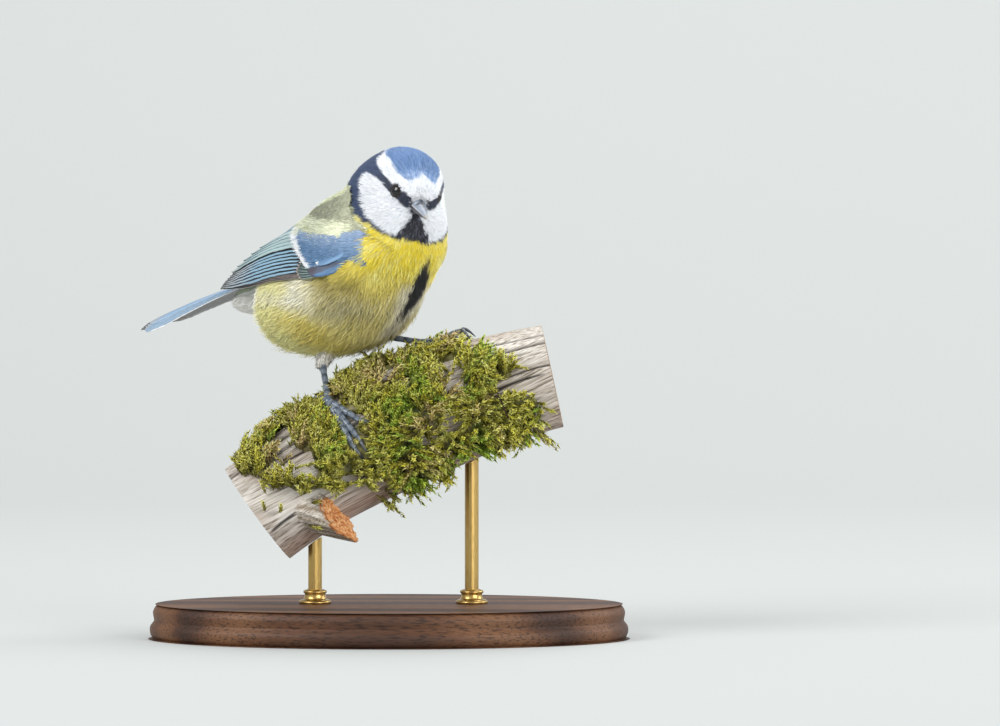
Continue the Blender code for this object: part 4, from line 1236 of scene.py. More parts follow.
FLIGHT = (
    Tier("primaries", 6, (2,), (-34.7, -36.0, -35.3), (0.12, 0.15, 0.18), (-0.2, 0.1, 0.4), 2.6, 0.3,
         (0.6,), (0.1,), "#b0a39e", "#2c2624", "#4c4643", 5.0, 3.0, 1.6, 0.045),
    Tier("secondaries", 7, (-0.5, -1.0, -2.0), (-33.0, -31.5, -28.5), (0.27, 0.49, 0.7), (-0.02, 0.22, 0.44),
         3.6, 0.3, (0.95,), (0.1,), "#8fb5cc", "#121b22", "#5d6063", 3.0, 4.0, 1.0, 0.15),
    Tier("tertials", 5, (-2.5, -3.0, -3.5), (-29.0, -25.5, -21.5), (0.76, 0.88, 1.0), (0.52, 0.75, 0.98),
         3.6, 0.6, (1.2,), (0.45,), "#a3b9ba", "#56757f", "#9ba8a6", 4.0, 4.0, 1.0, 0.24),
    Tier("primary_coverts", 6, (12.5,), (-0.2, -1.9, -1.5), (0.1, 0.2, 0.3), (0.04, 0.19, 0.36), 1.7, 0.5,
         (0.95,), (0.55,), "#93aaa6", "#3c4b4b", "#cbb8ae", 0.6, 5.0, 1.3, 0.22),
    Tier("alula", 1, (12.5,), (2.2,), (0.0,), (0.17,), 2.9, 0.95, (1.35,), (1.05,), "#54789f", "#4a5468",
         "#45404c", 2.5, 4.0, 1.3, 0.45),
    Tier("alula_covert", 1, (13.0,), (4.3,), (0.3,), (0.33,), 2.0, 1.1, (1.6,), (1.2,), "#7da3c9", "#678bb2",
         "#f4f6f9", 0.9, 4.0, 1.3),
    Tier("greater_coverts", 9, (9.9, 5.9, 0.7), (0.2, -3.4, -7.6), (0.44, 0.57, 0.72), (0.34, 0.61, 0.86),
         2.7, 0.7, (1.15, 1.1, 1.0), (0.85, 0.8, 0.75), "#86a6c6", "#4d6a8c", "#f6f8fa", 1.9, 5.0, 1.3),
    Tier("median_coverts", 8, (11.5, 7.9, 3.3), (5.0, 1.4, -3.2), (0.56, 0.66, 0.8), (0.44, 0.62, 0.8),
         2.6, 0.8, (1.4, 1.25, 1.1), (0.95, 0.85, 0.8), "#86a4c6", "#5b7ba3", "#6c8bb1", 1.0, 5.0, 1.3),
)


@dataclass
class Wings:
    """Both folded wings: tiers of feathers over a bed that lies on the flank."""

    edge_x: tuple = (-36, -30, -22, -12, -1, 5, 10, 15.5)
    low: tuple = (25, 21, 16, 11, 7, 9, 15, 28)
    high: tuple = (31, 46, 57, 57, 46, 39, 38, 36)
    gap: float = 0.3 * MM
    thick: float = 0.14 * MM
    along_steps: int = 26
    across_steps: int = 7

    def __post_init__(self) -> None:
        """Makes the flesh with the bed on it."""
        self.flesh = Flesh(with_wing_bed=True)

    def angle(self, x: Array, share: Array) -> Array:
        """Angle up from the side, from the wing's low edge at share 0 to its high edge at 1."""
        low = along(np.array(self.edge_x) * MM, np.radians(self.low), x)
        high = along(np.array(self.edge_x) * MM, np.radians(self.high), x)
        return low + (high - low) * share

    @staticmethod
    def axis(x: Array) -> Array:
        """Height of the line that the angles turn about: 1 mm and 0.12 for each length forward."""
        return 1.0 * MM + 0.12 * x

    def rays(self, x: Array, angle: Array) -> tuple[Array, Array]:
        """Starts on the axis, and directions over the right flank, of rays at an angle."""
        return np.stack((x, 0 * x, self.axis(x)), -1), np.stack((0 * x, -np.cos(angle), np.sin(angle)), -1)

    def bed(self, x: Array, angle: Array, lift: Array | float) -> Array:
        """Point over the right flank: along a ray to the bed's surface, lifted off it."""
        x, angle, lift = np.broadcast_arrays(x, angle, lift)
        starts, rays = self.rays(x, angle)
        return starts + rays * (self.flesh.reach(starts, rays, self.gap) + lift)[..., None]

    def covers(self, points: Array) -> Array:
        """1 well under a folded wing and 0 outside, with a margin at its edges."""
        x = points[..., 0]
        angle = np.arctan2(points[..., 2] - self.axis(x), np.abs(points[..., 1]))
        low, high = self.angle(x, 0 * x), self.angle(x, 0 * x + 1)
        inside = smooth(0.0, 0.02, angle - low - 0.03) * smooth(0.02, 0.0, angle - high + 0.05)
        return ((inside > 0.5) & (x < 13.5 * MM) & (x > -33 * MM)).astype(float)

    def vane(self, tier: Tier, place: float, rng: np.random.Generator) -> tuple[Array, Array, Array, Array]:
        """One feather: a thin cambered strip over the bed, its shaft a low ridge.

        The strip's middle goes from the root's share of the wing to the tip's along t^late. Its
        half width grows over the first 0.3 of it and falls at the tip as (1 - t^k)^0.5, and the
        tip turns down to its shaft.

        Args:
            tier: the row that it belongs to.
            place: 0 for the row's first feather, 1 for its last.
            rng: random draw for its small differences.

        Returns:
            Its points, edge colours, web colours and flat places.
        """

        def at(values: tuple[float, ...]) -> float:
            """The row's value at this feather's place."""
            return float(np.interp(place, np.linspace(0, 1, len(values)), values))

        root_x, tip_x = at(tier.root_x) * MM, at(tier.tip_x) * MM
        t = np.linspace(0, 1, self.along_steps) ** 0.9
        across = np.linspace(0, 1, self.across_steps)
        x = root_x + (tip_x - root_x) * t
        share = at(tier.root_share) + (at(tier.tip_share) - at(tier.root_share)) * t**tier.late
        middle = self.angle(x, share)
        radius = self.flesh.reach(*self.rays(x, middle), self.gap)
        taper = (0.7 + 0.3 * smooth(0, 0.3, t)) * np.sqrt(np.maximum(1 - t ** (2 * tier.blunt), 0.012))
        taper = taper * (1 + 0.03 * rng.normal(0, 1, len(t)))
        half = 0.5 * tier.width * MM * taper / radius
        angle = middle[:, None] + half[:, None] * (2 * across - 1)
        ends = tip_x - root_x
        x = x[:, None] - ends * 0.035 * smooth(0.55, 1, t)[:, None] * (2 * across - 0.8) ** 2
        rest = np.clip(t / 0.1, 0, 1)[:, None]
        lift = at(tier.low_lift) * (1 - across) + at(tier.high_lift) * across
        lift = (tier.root_lift * (1 - rest) + rest * lift) * MM
        quill = 0.07 * MM * np.exp(-(((across - 0.36) / 0.07) ** 2))
        lift = lift + 0.05 * MM * np.sin(math.pi * across) + quill
        points = layered(self.bed(x, angle, lift), self.bed(x, angle, lift + self.thick))
        from_tip = (1 - t) * abs(ends) / MM
        end = smooth(tier.end_mm * 1.2, tier.end_mm * 0.7, from_tip)[:, None] * np.ones_like(across)
        tone = rng.normal(1, 0.04)
        web = blended(tier.web, tier.end, end) * tone
        edge = blended(tier.edge, tier.end, 0.8 * end) * tone
        if tier.name in ("primaries", "secondaries"):
            pale = smooth(0.5, 0.85, t)[:, None] * np.ones_like(across)
            edge = blended(edge, "#cfd3d6", 0.75 * pale)
            web = blended(web, "#3d3a3b", 0.7 * pale)
        thin = 0.3 / tier.edge_share * (1 + 0.9 * smooth(0.45, 0.85, t)[:, None])
        flat = np.stack(np.broadcast_arrays(across * thin, from_tip[:, None]), -1)
        return points, *(layered(part, part) for part in (edge, web, flat))

    def build(self, material: Material, down: Material) -> None:
        """Builds the tiers of the right wing, and their mirror image on the left.

        Args:
            material: the finish of firm vanes.
            down: the finish of small loose feathers.
        """
        rng = np.random.default_rng(21)
        one = sheet_faces(self.along_steps, self.across_steps)
        step = 2 * self.along_steps * self.across_steps
        for tier in FLIGHT:
            rows = [self.vane(tier, place, rng) for place in np.linspace(0, 1, tier.count)]
            points, edge, web, flat = (np.concatenate(part) for part in zip(*rows))
            for side, hand in SIDES:
                faces = tiled(one, step, tier.count)
                piece = solid(f"{tier.name}_{hand}", BIRD.out(points * (1, -side, 1)), [faces], web)
                tint(piece.data, "edge", edge)
                map_points(piece.data, "vane", flat)
                dress(piece, "wing_feathers", material, f"wing_{hand}")
        self.core(down)
        self.loose(down)

    def core(self, material: Material) -> None:
        """The wing's own skin under its feathers, painted dark as the shade between them, and at the shoulder
        in the plumage's colours dimmed to 0.85 as painted shade.
        """
        rows, columns, low = 60, 24, 0.05 * MM
        x, share = np.linspace(-31, 15.2, rows) * MM, np.linspace(0.04, 0.96, columns)
        x, share = np.meshgrid(x, share, indexing="ij")
        angle = self.angle(x, share)
        thick = (0.3 + 0.75 * smooth(2, 10, x / MM) * np.sin(math.pi * share) ** 0.5) * MM
        points = layered(self.bed(x, angle, low), self.bed(x, angle, low + thick))
        # painted shade: dark under the feathers, and the plumage's colours dimmed to 0.85 at the shoulder
        shade = blended("#3b4654", Markings()(points) * 0.85, smooth(3, 8, points[..., 0] / MM))
        for side, hand in SIDES:
            faces = sheet_faces(rows, columns)
            piece = solid(f"wing_root_{hand}", BIRD.out(points * (1, -side, 1)), [faces], shade)
            dress(piece, "wing_feathers", material, f"wing_{hand}")

    def loose(self, material: Material) -> None:
        """Lesser coverts, blue, the white bar and pale grey-green scapulars, as tufts.

        The seam between coverts and scapulars is an angle for each station, and the bar lies
        between two stations for each angle. All are told by where a tuft's tip lies.
        """
        rng = np.random.default_rng(22)
        seam = ((-8, -2, 3, 8.5, 11, 13.5, 16), (49, 40, 35.5, 33.5, 36, 39, 37))
        bar_angle = (8, 19.5, 25, 32, 39, 48.6, 60)
        bar_front = (4.5, 1.3, -0.2, -1.9, -3.7, -6.6, -9)
        bar_back = (3.2, 0.0, -1.9, -4.0, -6.0, -8.0, -10.5)
        for name, count, long, over in (
            ("bar", 150, 2.2, 1.5), ("lesser_coverts", 900, 2.5, 1.7), ("scapulars", 900, 3.4, 1.6)
        ):
            x = rng.uniform(-8.5, 14.5, count * 12)
            angle = rng.uniform(*((33, 66) if name == "scapulars" else (14, 56)), count * 12)
            top, front = np.interp(x, *seam), np.interp(angle, bar_angle, bar_front)
            if name == "bar":
                back = np.interp(angle, bar_angle, bar_back)
                kept = (x < front + 0.5) & (x > back) & (angle > 18.5) & (angle < 50)
            elif name == "lesser_coverts":
                low = np.interp(x, (1.5, 5, 12, 15), (20, 22, 24, 20))
                kept = (angle < top + 0.5) & (x > front) & (angle > low)
            else:
                kept = (angle > top + 1.5) & (x > -7.5)
            kept = np.flatnonzero(kept)[: count * 2]
            spots = self.bed(x[kept] * MM, np.radians(angle[kept]), 1.0 * MM)
            kept = kept[Markings.below_collar(spots, 2)][:count]
            x, angle, top, count = x[kept] + long * 0.85, angle[kept], top[kept], len(kept)
            light = smooth(4, 14, x) * smooth(20, 36, angle)
            if name == "bar":
                colours = blended("#f7f9fb", "#dfe6ee", 0.6 * rng.random(count))
            elif name == "lesser_coverts":
                bright = np.clip(rng.random(count) * 0.85 + 0.25 * light, 0, 1)
                colours = blended("#3c6087", "#7c9fc2", bright)
                colours = blended(colours, "#a9bad8", 0.6 * light * rng.random(count))
                colours = blended(colours, "#a9b9d2", 0.5 * smooth(3.5, 0.5, top - angle))
            else:
                colours = blended("#b9bf9c", "#d6dac2", rng.random(count))
                # the scapulars' front made much paler: partly their own yellower green, partly painted light
                # lifting the shade of the hollow at the wing's root
                colours = blended(colours, "#f6f9d6", 0.75 * smooth(4, 10, x))
                over = over * (1 - 0.8 * np.maximum(smooth(2, 14, angle - top), smooth(10, 14, x)))
            roots = self.bed(x * MM, np.radians(angle), 0.5 * MM)
            for side, hand in SIDES:
                spots = np.stack((0.5 + x * 12 * MM, angle / 360 + (0.2 if side < 0 else 0.6)), -1)
                Tufts(
                    roots * (1, -side, 1), np.tile((-1.0, 0.0, -0.12), (count, 1)),
                    rng.uniform(0.85, 1.15, count) * long * MM, 1.7 * MM, 0.7 * MM, over * MM, colours, spots,
                    strands=9, splay=0.26, width=0.17 * MM, loft=0.08 * MM, seed=23,
                ).grow(f"{name}_{hand}", "wing_feathers", material, (f"wing_{hand}",), self.flesh)


@dataclass
class Tail:
    """Twelve tail feathers, the middle pair on top and each next pair under it."""

    station: tuple = (-65, -62, -58, -53, -48, -42, -32, -22)
    ridge: tuple = (-10.4, -9.0, -7.3, -5.5, -3.8, -2.0, 0.8, 3.6)
    half: tuple = (4.6, 5.6, 5.8, 5.7, 5.4, 4.8, 3.4, 2.4)
    tips: tuple = (1.3, 0.6, 0.1, 0.0, 0.4, 1.4)
    drop: float = 0.06 / MM
    roll_deg: float = 12.0
    thick: float = 0.1 * MM

    def roof(self, x: Array, y: Array, lift: Array | float) -> Array:
        """Point on the roof: it falls as 0.06 y^2 to the sides and rolls 12 degrees to its end."""
        x, y, lift = np.broadcast_arrays(x, y, lift)
        ridge = along(np.array(self.station) * MM, np.array(self.ridge) * MM, x)
        height = lift - self.drop * y**2
        roll = math.radians(self.roll_deg) * np.clip((x / MM + 32) / -21, 0, 1)
        flat = np.cos(roll) * y - np.sin(roll) * height
        return np.stack((x, flat, ridge + np.sin(roll) * y + np.cos(roll) * height), -1)

    def build(self, material: Material) -> None:
        """Builds both feathers of each pair and dresses them as one piece for each side."""
        rng = np.random.default_rng(31)
        rows, columns = 40, 11
        root, end = self.station[-1], self.station[0]
        t, across = np.linspace(0, 1, rows), np.linspace(-1, 1, columns)
        shaft = across - 0.15
        for side, hand in SIDES:
            feathers = []
            for place, short in enumerate(self.tips):
                x = (root + (end + short - root) * t) * MM
                spread = along(np.array(self.station) * MM, np.array(self.half), x) / max(self.half)
                middle = side * (1.1 + 0.3 * place) * MM * spread
                width = 3.5 * MM * spread * np.sqrt(np.maximum(1 - t**14, 0.02))
                width = width * (1 + 0.015 * rng.normal(0, 1, rows))
                y = middle[:, None] + width[:, None] * across * side
                x = x[:, None] + 1.3 * MM * smooth(0.85, 1, t)[:, None] * (across + 0.25) ** 2
                lift = (-0.14 * place - (0.07 if side > 0 else 0)) * MM
                lift = lift + 0.1 * MM * np.exp(-((shaft / 0.09) ** 2))
                points = layered(self.roof(x, y, lift - self.thick), self.roof(x, y, lift))
                from_tip = (1 - t)[:, None] * (root - end) + 0 * y
                web = blended("#7f9cb8", "#9b958d", 0.8 * smooth(10, 0.6, from_tip))
                web = blended(web, "#4d6277", 0.55 * np.exp(-((shaft / 0.2) ** 2)) + 0 * y)
                below = np.repeat((1.0, 0.0), rows * columns)
                web = blended(layered(web, web), "#857e74", 0.8 * below * (1 if place else 0.9))
                edge = blended("#f0f3f5" if place == 5 else "#a3bfd8", "#8d877c", 0.75 * below)
                flat = np.stack(((1 - across) / 2 + 0 * y, root - end - from_tip), -1)
                feathers.append((points, edge, web, layered(flat, flat)))
            points, edge, web, flat = (np.concatenate(part) for part in zip(*feathers))
            faces = tiled(sheet_faces(rows, columns), 2 * rows * columns, len(self.tips))
            piece = solid(f"tail_{hand}", BIRD.out(points), [faces], web)
            tint(piece.data, "edge", edge)
            map_points(piece.data, "vane", flat)
            dress(piece, "tail_feathers", material, "tail")


@dataclass
class Eyes:
    """The two eyes with their lid rings, in the head's frame."""

    at: tuple[float, float, float] = (7.0, 4.0, 1.5)
    radius: float = 2.2 * MM
    lid_radius: float = 1.56 * MM
    lid_thick: float = 0.12 * MM

    @staticmethod
    def fronts() -> list[Array]:
        """The middle of each eye's opening, in the bird's frame."""
        return [HEAD.out(Eyes().centre(side) + Eyes.axis(side) * 1.55 * MM) for side in (-1, 1)]

    @staticmethod
    def away(points: Array) -> Array:
        """Millimetres from each point to the nearest eye's opening."""
        return np.min([np.linalg.norm(points - eye, axis=-1) for eye in Eyes.fronts()], axis=0) / MM

    def centre(self, side: int) -> Array:
        """Centre of an eyeball."""
        return np.array(self.at) * (1, side, 1) * MM

    @staticmethod
    def axis(side: int) -> Array:
        """The way that an eye looks."""
        return unit(np.array((0.63, side * 0.77, 0.12)))

    def build(self, glossy: Material, creased: Material) -> None:
        """Builds each ball about its axis, black with a brown iris ring, and its beaded lid."""
        for side, hand in SIDES:
            axis, centre = self.axis(side), self.centre(side)
            across = unit(np.cross(axis, (0.0, 0.0, 1.0)))
            other = np.cross(axis, across)
            polar, turn = np.meshgrid(np.linspace(0.02, math.pi - 0.02, 48), turns(56), indexing="ij")
            bulge = 1 + 0.02 * np.exp(-((polar / 0.5) ** 2))
            ball = swung(polar, axis, swung(turn, across, other))
            points, faces = capped_tube(centre + self.radius * bulge[..., None] * ball)
            shade = blended("#060506", "#160d08", smooth(0.42, 0.5, polar) * smooth(0.95, 0.85, polar))
            eye = solid(f"eyeball_{hand}", BIRD.out(HEAD.out(points)), faces, for_tube(shade))
            dress(eye, "eye", glossy, f"eye_{hand}")
            turn, round_it = np.meshgrid(turns(88), turns(18), indexing="ij")
            beads = turn * 22
            skirt = smooth(-0.2, 0.9, np.cos(round_it))
            oval = np.cos(2 * turn)
            thick = self.lid_thick * (1 + 0.12 * np.sin(beads) * (np.cos(round_it) < 0.2)) * (1 + 0.15 * oval)
            wide = self.lid_radius * (1 + 0.05 * oval) + thick * np.cos(round_it) + 0.6 * MM * skirt
            high = 1.58 * MM + thick * np.sin(round_it) * 0.9 - 0.6 * MM * skirt
            lid = centre + swung(turn, across, other) * wide[..., None] + axis * high[..., None]
            placed = HEAD.out(lid.reshape(-1, 3))
            dark = blended("#1d1c20", "#3a3a40", 0.5 + 0.5 * np.sin(beads + 1)).reshape(-1, 3)
            # painted shade: the skirt takes the plumage's colours dimmed to 0.75 where it runs down under the
            # coat
            tone = blended(dark, Markings()(placed) * 0.75, smooth(0.3, 0.9, skirt.reshape(-1)))
            piece = solid(f"lid_{hand}", BIRD.out(placed), [grid_faces(89, 18, wrap=True) % (88 * 18)], tone)
            dress(piece, "head_feathers", creased, "head")


@dataclass
class Bill:
    """The short stout bill: two halves with a ridge, a cutting edge and nostril pits."""

    at: tuple[float, float, float] = (8.1, 0.05, -0.35)
    length: float = 9.4 * MM
    width: float = 4.4 * MM
    upper: float = 2.3 * MM
    lower: float = 1.9 * MM
    droop: float = 4.0
    gap: float = 0.3 * MM

    def build(self, material: Material) -> None:
        """Half rings along each half: widths fall as (1 - t)^0.85 and heights as (1 - t)^0.75."""
        turn = Placement((0, 0, 0), 0, self.droop).turn()
        for name, side, deep, long in (
            ("bill_upper", 1, self.upper, self.length),
            ("bill_lower", -1, self.lower, self.length * 0.93),
        ):
            upper = side > 0
            t = (1 - (1 - np.linspace(0, 0.995, 64)) ** 1.15)[:, None]
            angle = np.linspace(0, math.pi, 41)
            from_ridge = angle - math.pi / 2
            ridge = 1 + 0.07 * np.exp(-((from_ridge / 0.22) ** 2))
            x = t * long + 0 * angle
            y = self.width / 2 * (1 - t) ** 0.85 * np.cos(angle)
            z = side * (self.gap / 2 * 0.4 + deep * (1 - t) ** 0.75 * np.sin(angle) ** 0.9 * ridge)
            away = np.hypot(x - 3.4 * MM, z - 1.25 * MM) / MM
            y = y - np.sign(y) * 0.35 * MM * np.exp(-((away / 0.42) ** 2)) * upper
            dark = np.exp(-((from_ridge / 0.42) ** 2)) * (0.95 if upper else 0.35) * smooth(1.0, 0.4, t)
            lip = smooth(0.32, 0.1, np.sin(angle)) + 0 * x
            shade = blended("#9aa3af" if upper else "#5a5b62", "#2b2f39", dark)
            shade = blended(shade, "#c9ccd0" if upper else "#3f3531", 0.7 * lip)
            shade = blended(shade, "#c2b48e", 0.5 * smooth(0.75, 0.98, t) + 0 * x)
            # painted shade: the nostril pits, dented into the bill, are painted near black as the shade in
            # their hollows
            shade = blended(shade, "#1c1c20", np.exp(-((away / 0.4) ** 2)) * upper)
            points, faces = capped_tube(np.array(self.at) * MM + np.stack((x, y, z), -1) @ turn.T)
            piece = solid(f"{name}_horn", BIRD.out(HEAD.out(points)), faces, for_tube(shade))
            dress(piece, "bill", material, name)

    def bristles(self, flesh: Flesh, material: Material) -> None:
        """Stiff dark and pale bristles from the forehead and chin over the bill's root."""
        rng = np.random.default_rng(41)
        count = 200
        angle = rng.uniform(-0.35, 1.35, count) * math.pi
        ring = np.stack((8.4 + 0 * angle, 2.5 * np.cos(angle), 2.4 * np.sin(angle) + 0.1), -1)
        ring = ring + rng.normal(0, 0.25, ring.shape)
        roots = flesh.settled(HEAD.out(ring * MM), -0.2 * MM, 4)
        out = flesh.normal(roots)
        ahead = np.array((1.0, 0.0, -0.05)) @ HEAD.turn().T
        lie = unit(ahead + 0.25 * out)
        tone = rng.random(count)
        colours = blended("#33353d", "#e3e6ec", (tone > 0.4) * rng.uniform(0.5, 1, count))
        spots = np.stack((0.99 - 0.01 * tone, angle / TAU % 1), -1)
        Tufts(
            roots, lie, rng.uniform(0.8, 1.6, count) * MM, 0.5 * MM, -0.2 * MM, 0.4 * MM, colours, spots,
            strands=2, splay=0.2, width=0.13 * MM, seed=42, normals=out,
        ).grow("bristles", "head_feathers", material, ("head",))


def from_datum(points: Array) -> Array:
    """Points about the bird's datum, in the row frame's bearings, moved to their place."""
    return np.asarray(points) + np.array(BIRD.origin) * MM


@dataclass
class Branch:
    """The branch's own shape: a bent line, and the wood's distance from it."""

    ends: tuple[float, float] = (-21.0 * MM, 46.5 * MM)
    middle: float = 7.0 * MM
    height_at: float = -34.0 * MM
    rise: float = 0.52
    bend: float = -3.8
    side: float = -3.0 * MM
    radius: float = 13.1 * MM

    def height(self, x: Array) -> Array:
        """Height of the middle line: a line with a slope of 0.52 that bends down."""
        offset = x - self.middle
        return self.height_at + self.rise * offset + self.bend * offset**2

    def reach(self, x: Array, angle: Array) -> Array:
        """Distance of the wood from the line, with swells along it and lobes round it."""
        share = (x - self.middle) / 0.05
        swell = 1 - 0.09 * share + 0.05 * np.sin(5.0 * share + 1.0)
        lobes = 0.035 * np.sin(2 * angle + 3.0 * share) + 0.025 * np.sin(3 * angle - 2.0 * share + 0.8)
        return self.radius * (swell + lobes)

    def point(self, x: Array, angle: Array, lift: Array | float = 0.0) -> Array:
        """Point over the wood; the angle runs from the top towards the viewer."""
        x, angle, lift = np.broadcast_arrays(x, angle, lift)
        slope = np.arctan(self.rise + 2 * self.bend * (x - self.middle))
        out = self.reach(x, angle) + lift
        up = np.cos(angle) * out
        rows = (x - np.sin(slope) * up, self.side - np.sin(angle) * out, self.height(x) + np.cos(slope) * up)
        return from_datum(np.stack(rows, -1))


@dataclass
class Leg:
    """One leg: where its feathered thigh starts and ends, and where its foot stands."""

    hip: tuple[float, float, float]
    heel: tuple[float, float, float]
    at: tuple[float, float]
    toes: dict[str, tuple[float, float, float, float]]
    toe_lifts: tuple[float, ...]
    claw_lifts: tuple[float, ...]


LEGS = {
    "right": Leg(
        (-3.5, 1.0, -9.0), (-6.3, -1.8, -16.8), (1.8, 33),
        {
            "inner": (3.6, 31, 2.4, 9), "middle": (1.9, 48, 0.3, 18),
            "outer": (0.2, 51, 0.6, 14), "hind": (-2.0, -30, -1.2, -18),
        },
        (0.9, 0.9, 0.2, 0.5, 0.1), (0.1, 0.6, 0.3, -0.4),
    ),
    "left": Leg(
        (2.0, 4.0, -5.0), (6.9, 2.2, -10.6), (23.4, 0),
        {
            "inner": (5.2, 19, 2.2, 15), "middle": (7.0, 7, 1.6, 15),
            "outer": (6.9, -7, 2.6, 4), "hind": (-5.5, 8, -2.5, 18),
        },
        (0.9, 0.7, 0.5, 1.3, 1.6), (1.6, 1.9, 0.9, -0.5),
    ),
}


@dataclass
class Limbs:
    """Both legs: feathered thighs, scaled shanks, toes with pads and scutes, and claws."""

    toe_radii: tuple = (0.85, 0.74, 0.76, 0.66, 0.58)
    claw_radii: tuple = (0.5, 0.42, 0.28, 0.08)
    shank_radii: tuple = (0.95, 0.76, 0.66, 0.78, 0.96)
    thigh_radii: tuple = (4.0, 3.1, 1.35, 0.8)
    rest: float = 1.1 * MM
    scutes: tuple = (("inner", 6), ("middle", 8), ("outer", 7), ("hind", 5))

    @staticmethod
    def smooth_line(points: Array, radii: Array, steps: int) -> tuple[Array, Array]:
        """A curve through points, and the radius along it."""
        knots = np.linspace(0, 1, len(points))
        t = np.linspace(0, 1, steps)
        return along(knots, points, t), along(np.linspace(0, 1, len(radii)), np.asarray(radii), t)

    def scaled(self, points: Array, radii: Array, plates: int, steps: int, raised: float) -> tuple:
        """A tube that steps down from plate to plate, and its tone.

        The radius is 1 + r (1 - the fraction of the plate passed), eased at each seam, with five
        faint ridges round it.
        """
        path, radius = self.smooth_line(points, np.asarray(radii) * MM, steps)
        share = np.linspace(0, 1, steps)[:, None] * plates
        angle, part = turns(20)[None, :], share % 1
        swell = 1 + raised * (1 - part) * smooth(0.0, 0.12, part) + 0.02 * np.sin(5 * angle + share)
        seam = smooth(0.22, 0.0, part) + smooth(0.9, 1.0, part) * 0.5
        tone = blended("#535e6b", "#1d2228", 0.8 * seam + 0 * angle)
        # painted highlight: each plate lighter towards its crown
        tone = blended(tone, "#a4aebb", 0.36 * smooth(0.25, 0.6, part) + 0 * angle)
        return capped_tube(tube_grid(path, radius, 20, swell)), for_tube(tone)

    def build(self, branch: Branch, horn: Material, claw: Material, down: Material) -> None:
        """Builds both legs from the hip to the claws.

        Args:
            branch: what the feet grip.
            horn: finish of the scutes.
            claw: finish of the claws.
            down: finish of the thigh's feathers.
        """
        for name, leg in LEGS.items():
            foot = branch.point(leg.at[0] * MM, math.radians(leg.at[1]), self.rest + 0.9 * MM)
            heel, hip = from_datum(np.array(leg.heel) * MM), from_datum(np.array(leg.hip) * MM)
            shin = unit(foot - heel)
            start = heel + shin * 0.6 * MM
            shank = start + (foot - start) * np.array((0, 0.1, 0.5, 0.88, 1.0))[:, None]
            shape, tone = self.scaled(shank, self.shank_radii, 8, 96, 0.1)
            dress(solid(f"shank_{name}", *shape, tone), "scutes", horn, f"tarsus_{name}")
            self.thigh(name, np.array((hip, (hip + heel) / 2, heel, heel + shin * 0.3 * MM)), down)
            angle, rise = np.meshgrid(turns(20), np.linspace(0.05, math.pi - 0.05, 14))
            ball = np.stack((np.sin(rise) * np.cos(angle), np.sin(rise) * np.sin(angle), np.cos(rise)), -1)
            points, faces = capped_tube(foot + ball * 1.15 * MM)
            parts = [(points, [group[:, ::-1] for group in faces])]
            tones = [np.broadcast_to(srgb("#5f6d80"), points.shape)]
            for toe, plates in self.scutes:
                line, hook = self.toe(branch, leg, toe)
                shape, tone = self.scaled(line, self.toe_radii, plates, 12 * plates, 0.16)
                parts.append(shape)
                tones.append(tone)
                path, radius = self.smooth_line(hook, np.array(self.claw_radii) * MM, 28)
                shade = for_tube(blended("#6d7480", "#2c2e34", np.linspace(0, 1, 28)[:, None] + np.zeros(14)))
                piece = solid(f"hook_{name}_{toe}", *capped_tube(tube_grid(path, radius, 14)), shade)
                dress(piece, "claw", claw, f"claw_{name}_{toe}")
            piece = solid(f"toes_{name}", *merged(parts), np.concatenate(tones))
            dress(piece, "scutes", horn, f"foot_{name}")

    def toe(self, branch: Branch, leg: Leg, toe: str) -> tuple[Array, Array]:
        """Middle lines of a toe over the branch, and of the claw that goes on from it."""
        x, angle = leg.at
        run, turn, claw_run, claw_turn = leg.toes[toe]
        lifts = LEGS["right"] if toe == "hind" else leg
        share, lift = np.array((0, 0.25, 0.5, 0.75, 1.0)), self.rest + np.array(lifts.toe_lifts) * MM
        line = branch.point((x + run * share) * MM, np.radians(angle + turn * share), lift)
        share, lift = np.array((0.0, 0.35, 0.7, 1.0)), self.rest + np.array(lifts.claw_lifts) * MM
        angles = np.radians(angle + turn + claw_turn * share)
        hook = branch.point((x + run + claw_run * share) * MM, angles, lift)
        hook[0] = line[-1] - unit(hook[1] - hook[0]) * 0.2 * MM
        return line, hook

    def thigh(self, name: str, line: Array, material: Material) -> None:
        """A thigh: a tapering core under short pale feathers that lie down it."""
        path, radius = self.smooth_line(line, np.array(self.thigh_radii) * MM * 0.86, 40)
        grid = tube_grid(path, radius, 36)
        points, faces = capped_tube(grid)
        # painted shade: the core is the feathers' pale colour dimmed to 0.7, as the shade under them
        shade = np.broadcast_to(srgb("#c9c5ba") * 0.7, points.shape)
        dress(solid(f"thigh_core_{name}", points, faces, shade), "leg_feathers", material, f"thigh_{name}")
        rng = np.random.default_rng(51)
        count = 480
        i, j = rng.integers(2, 35, count), rng.integers(0, 36, count)
        roots = grid[i, j]
        out = unit(roots - path[i])
        lie = unit(unit(path[i + 3] - path[i - 1]) + 0.12 * out)
        length = rng.uniform(1.2, 2.2, count) * MM
        tone = blended("#e9e6df", "#b9b4a8", rng.random(count) ** 2)
        Tufts(
            roots, lie, length, 0.9 * MM, 0.0, 0.0, tone, np.stack((i / 40, j / 36), -1),
            strands=4, splay=0.35, width=0.24 * MM, seed=52, normals=out, frame=Placement((0, 0, 0)),
        ).grow(f"thigh_down_{name}", "leg_feathers", material, (f"thigh_{name}",))


# Perch, stand and studio


STUB_ENDS = np.array(((-16.0, -8.0, -46.3), (0.6, -12.6, -51.2))) * MM


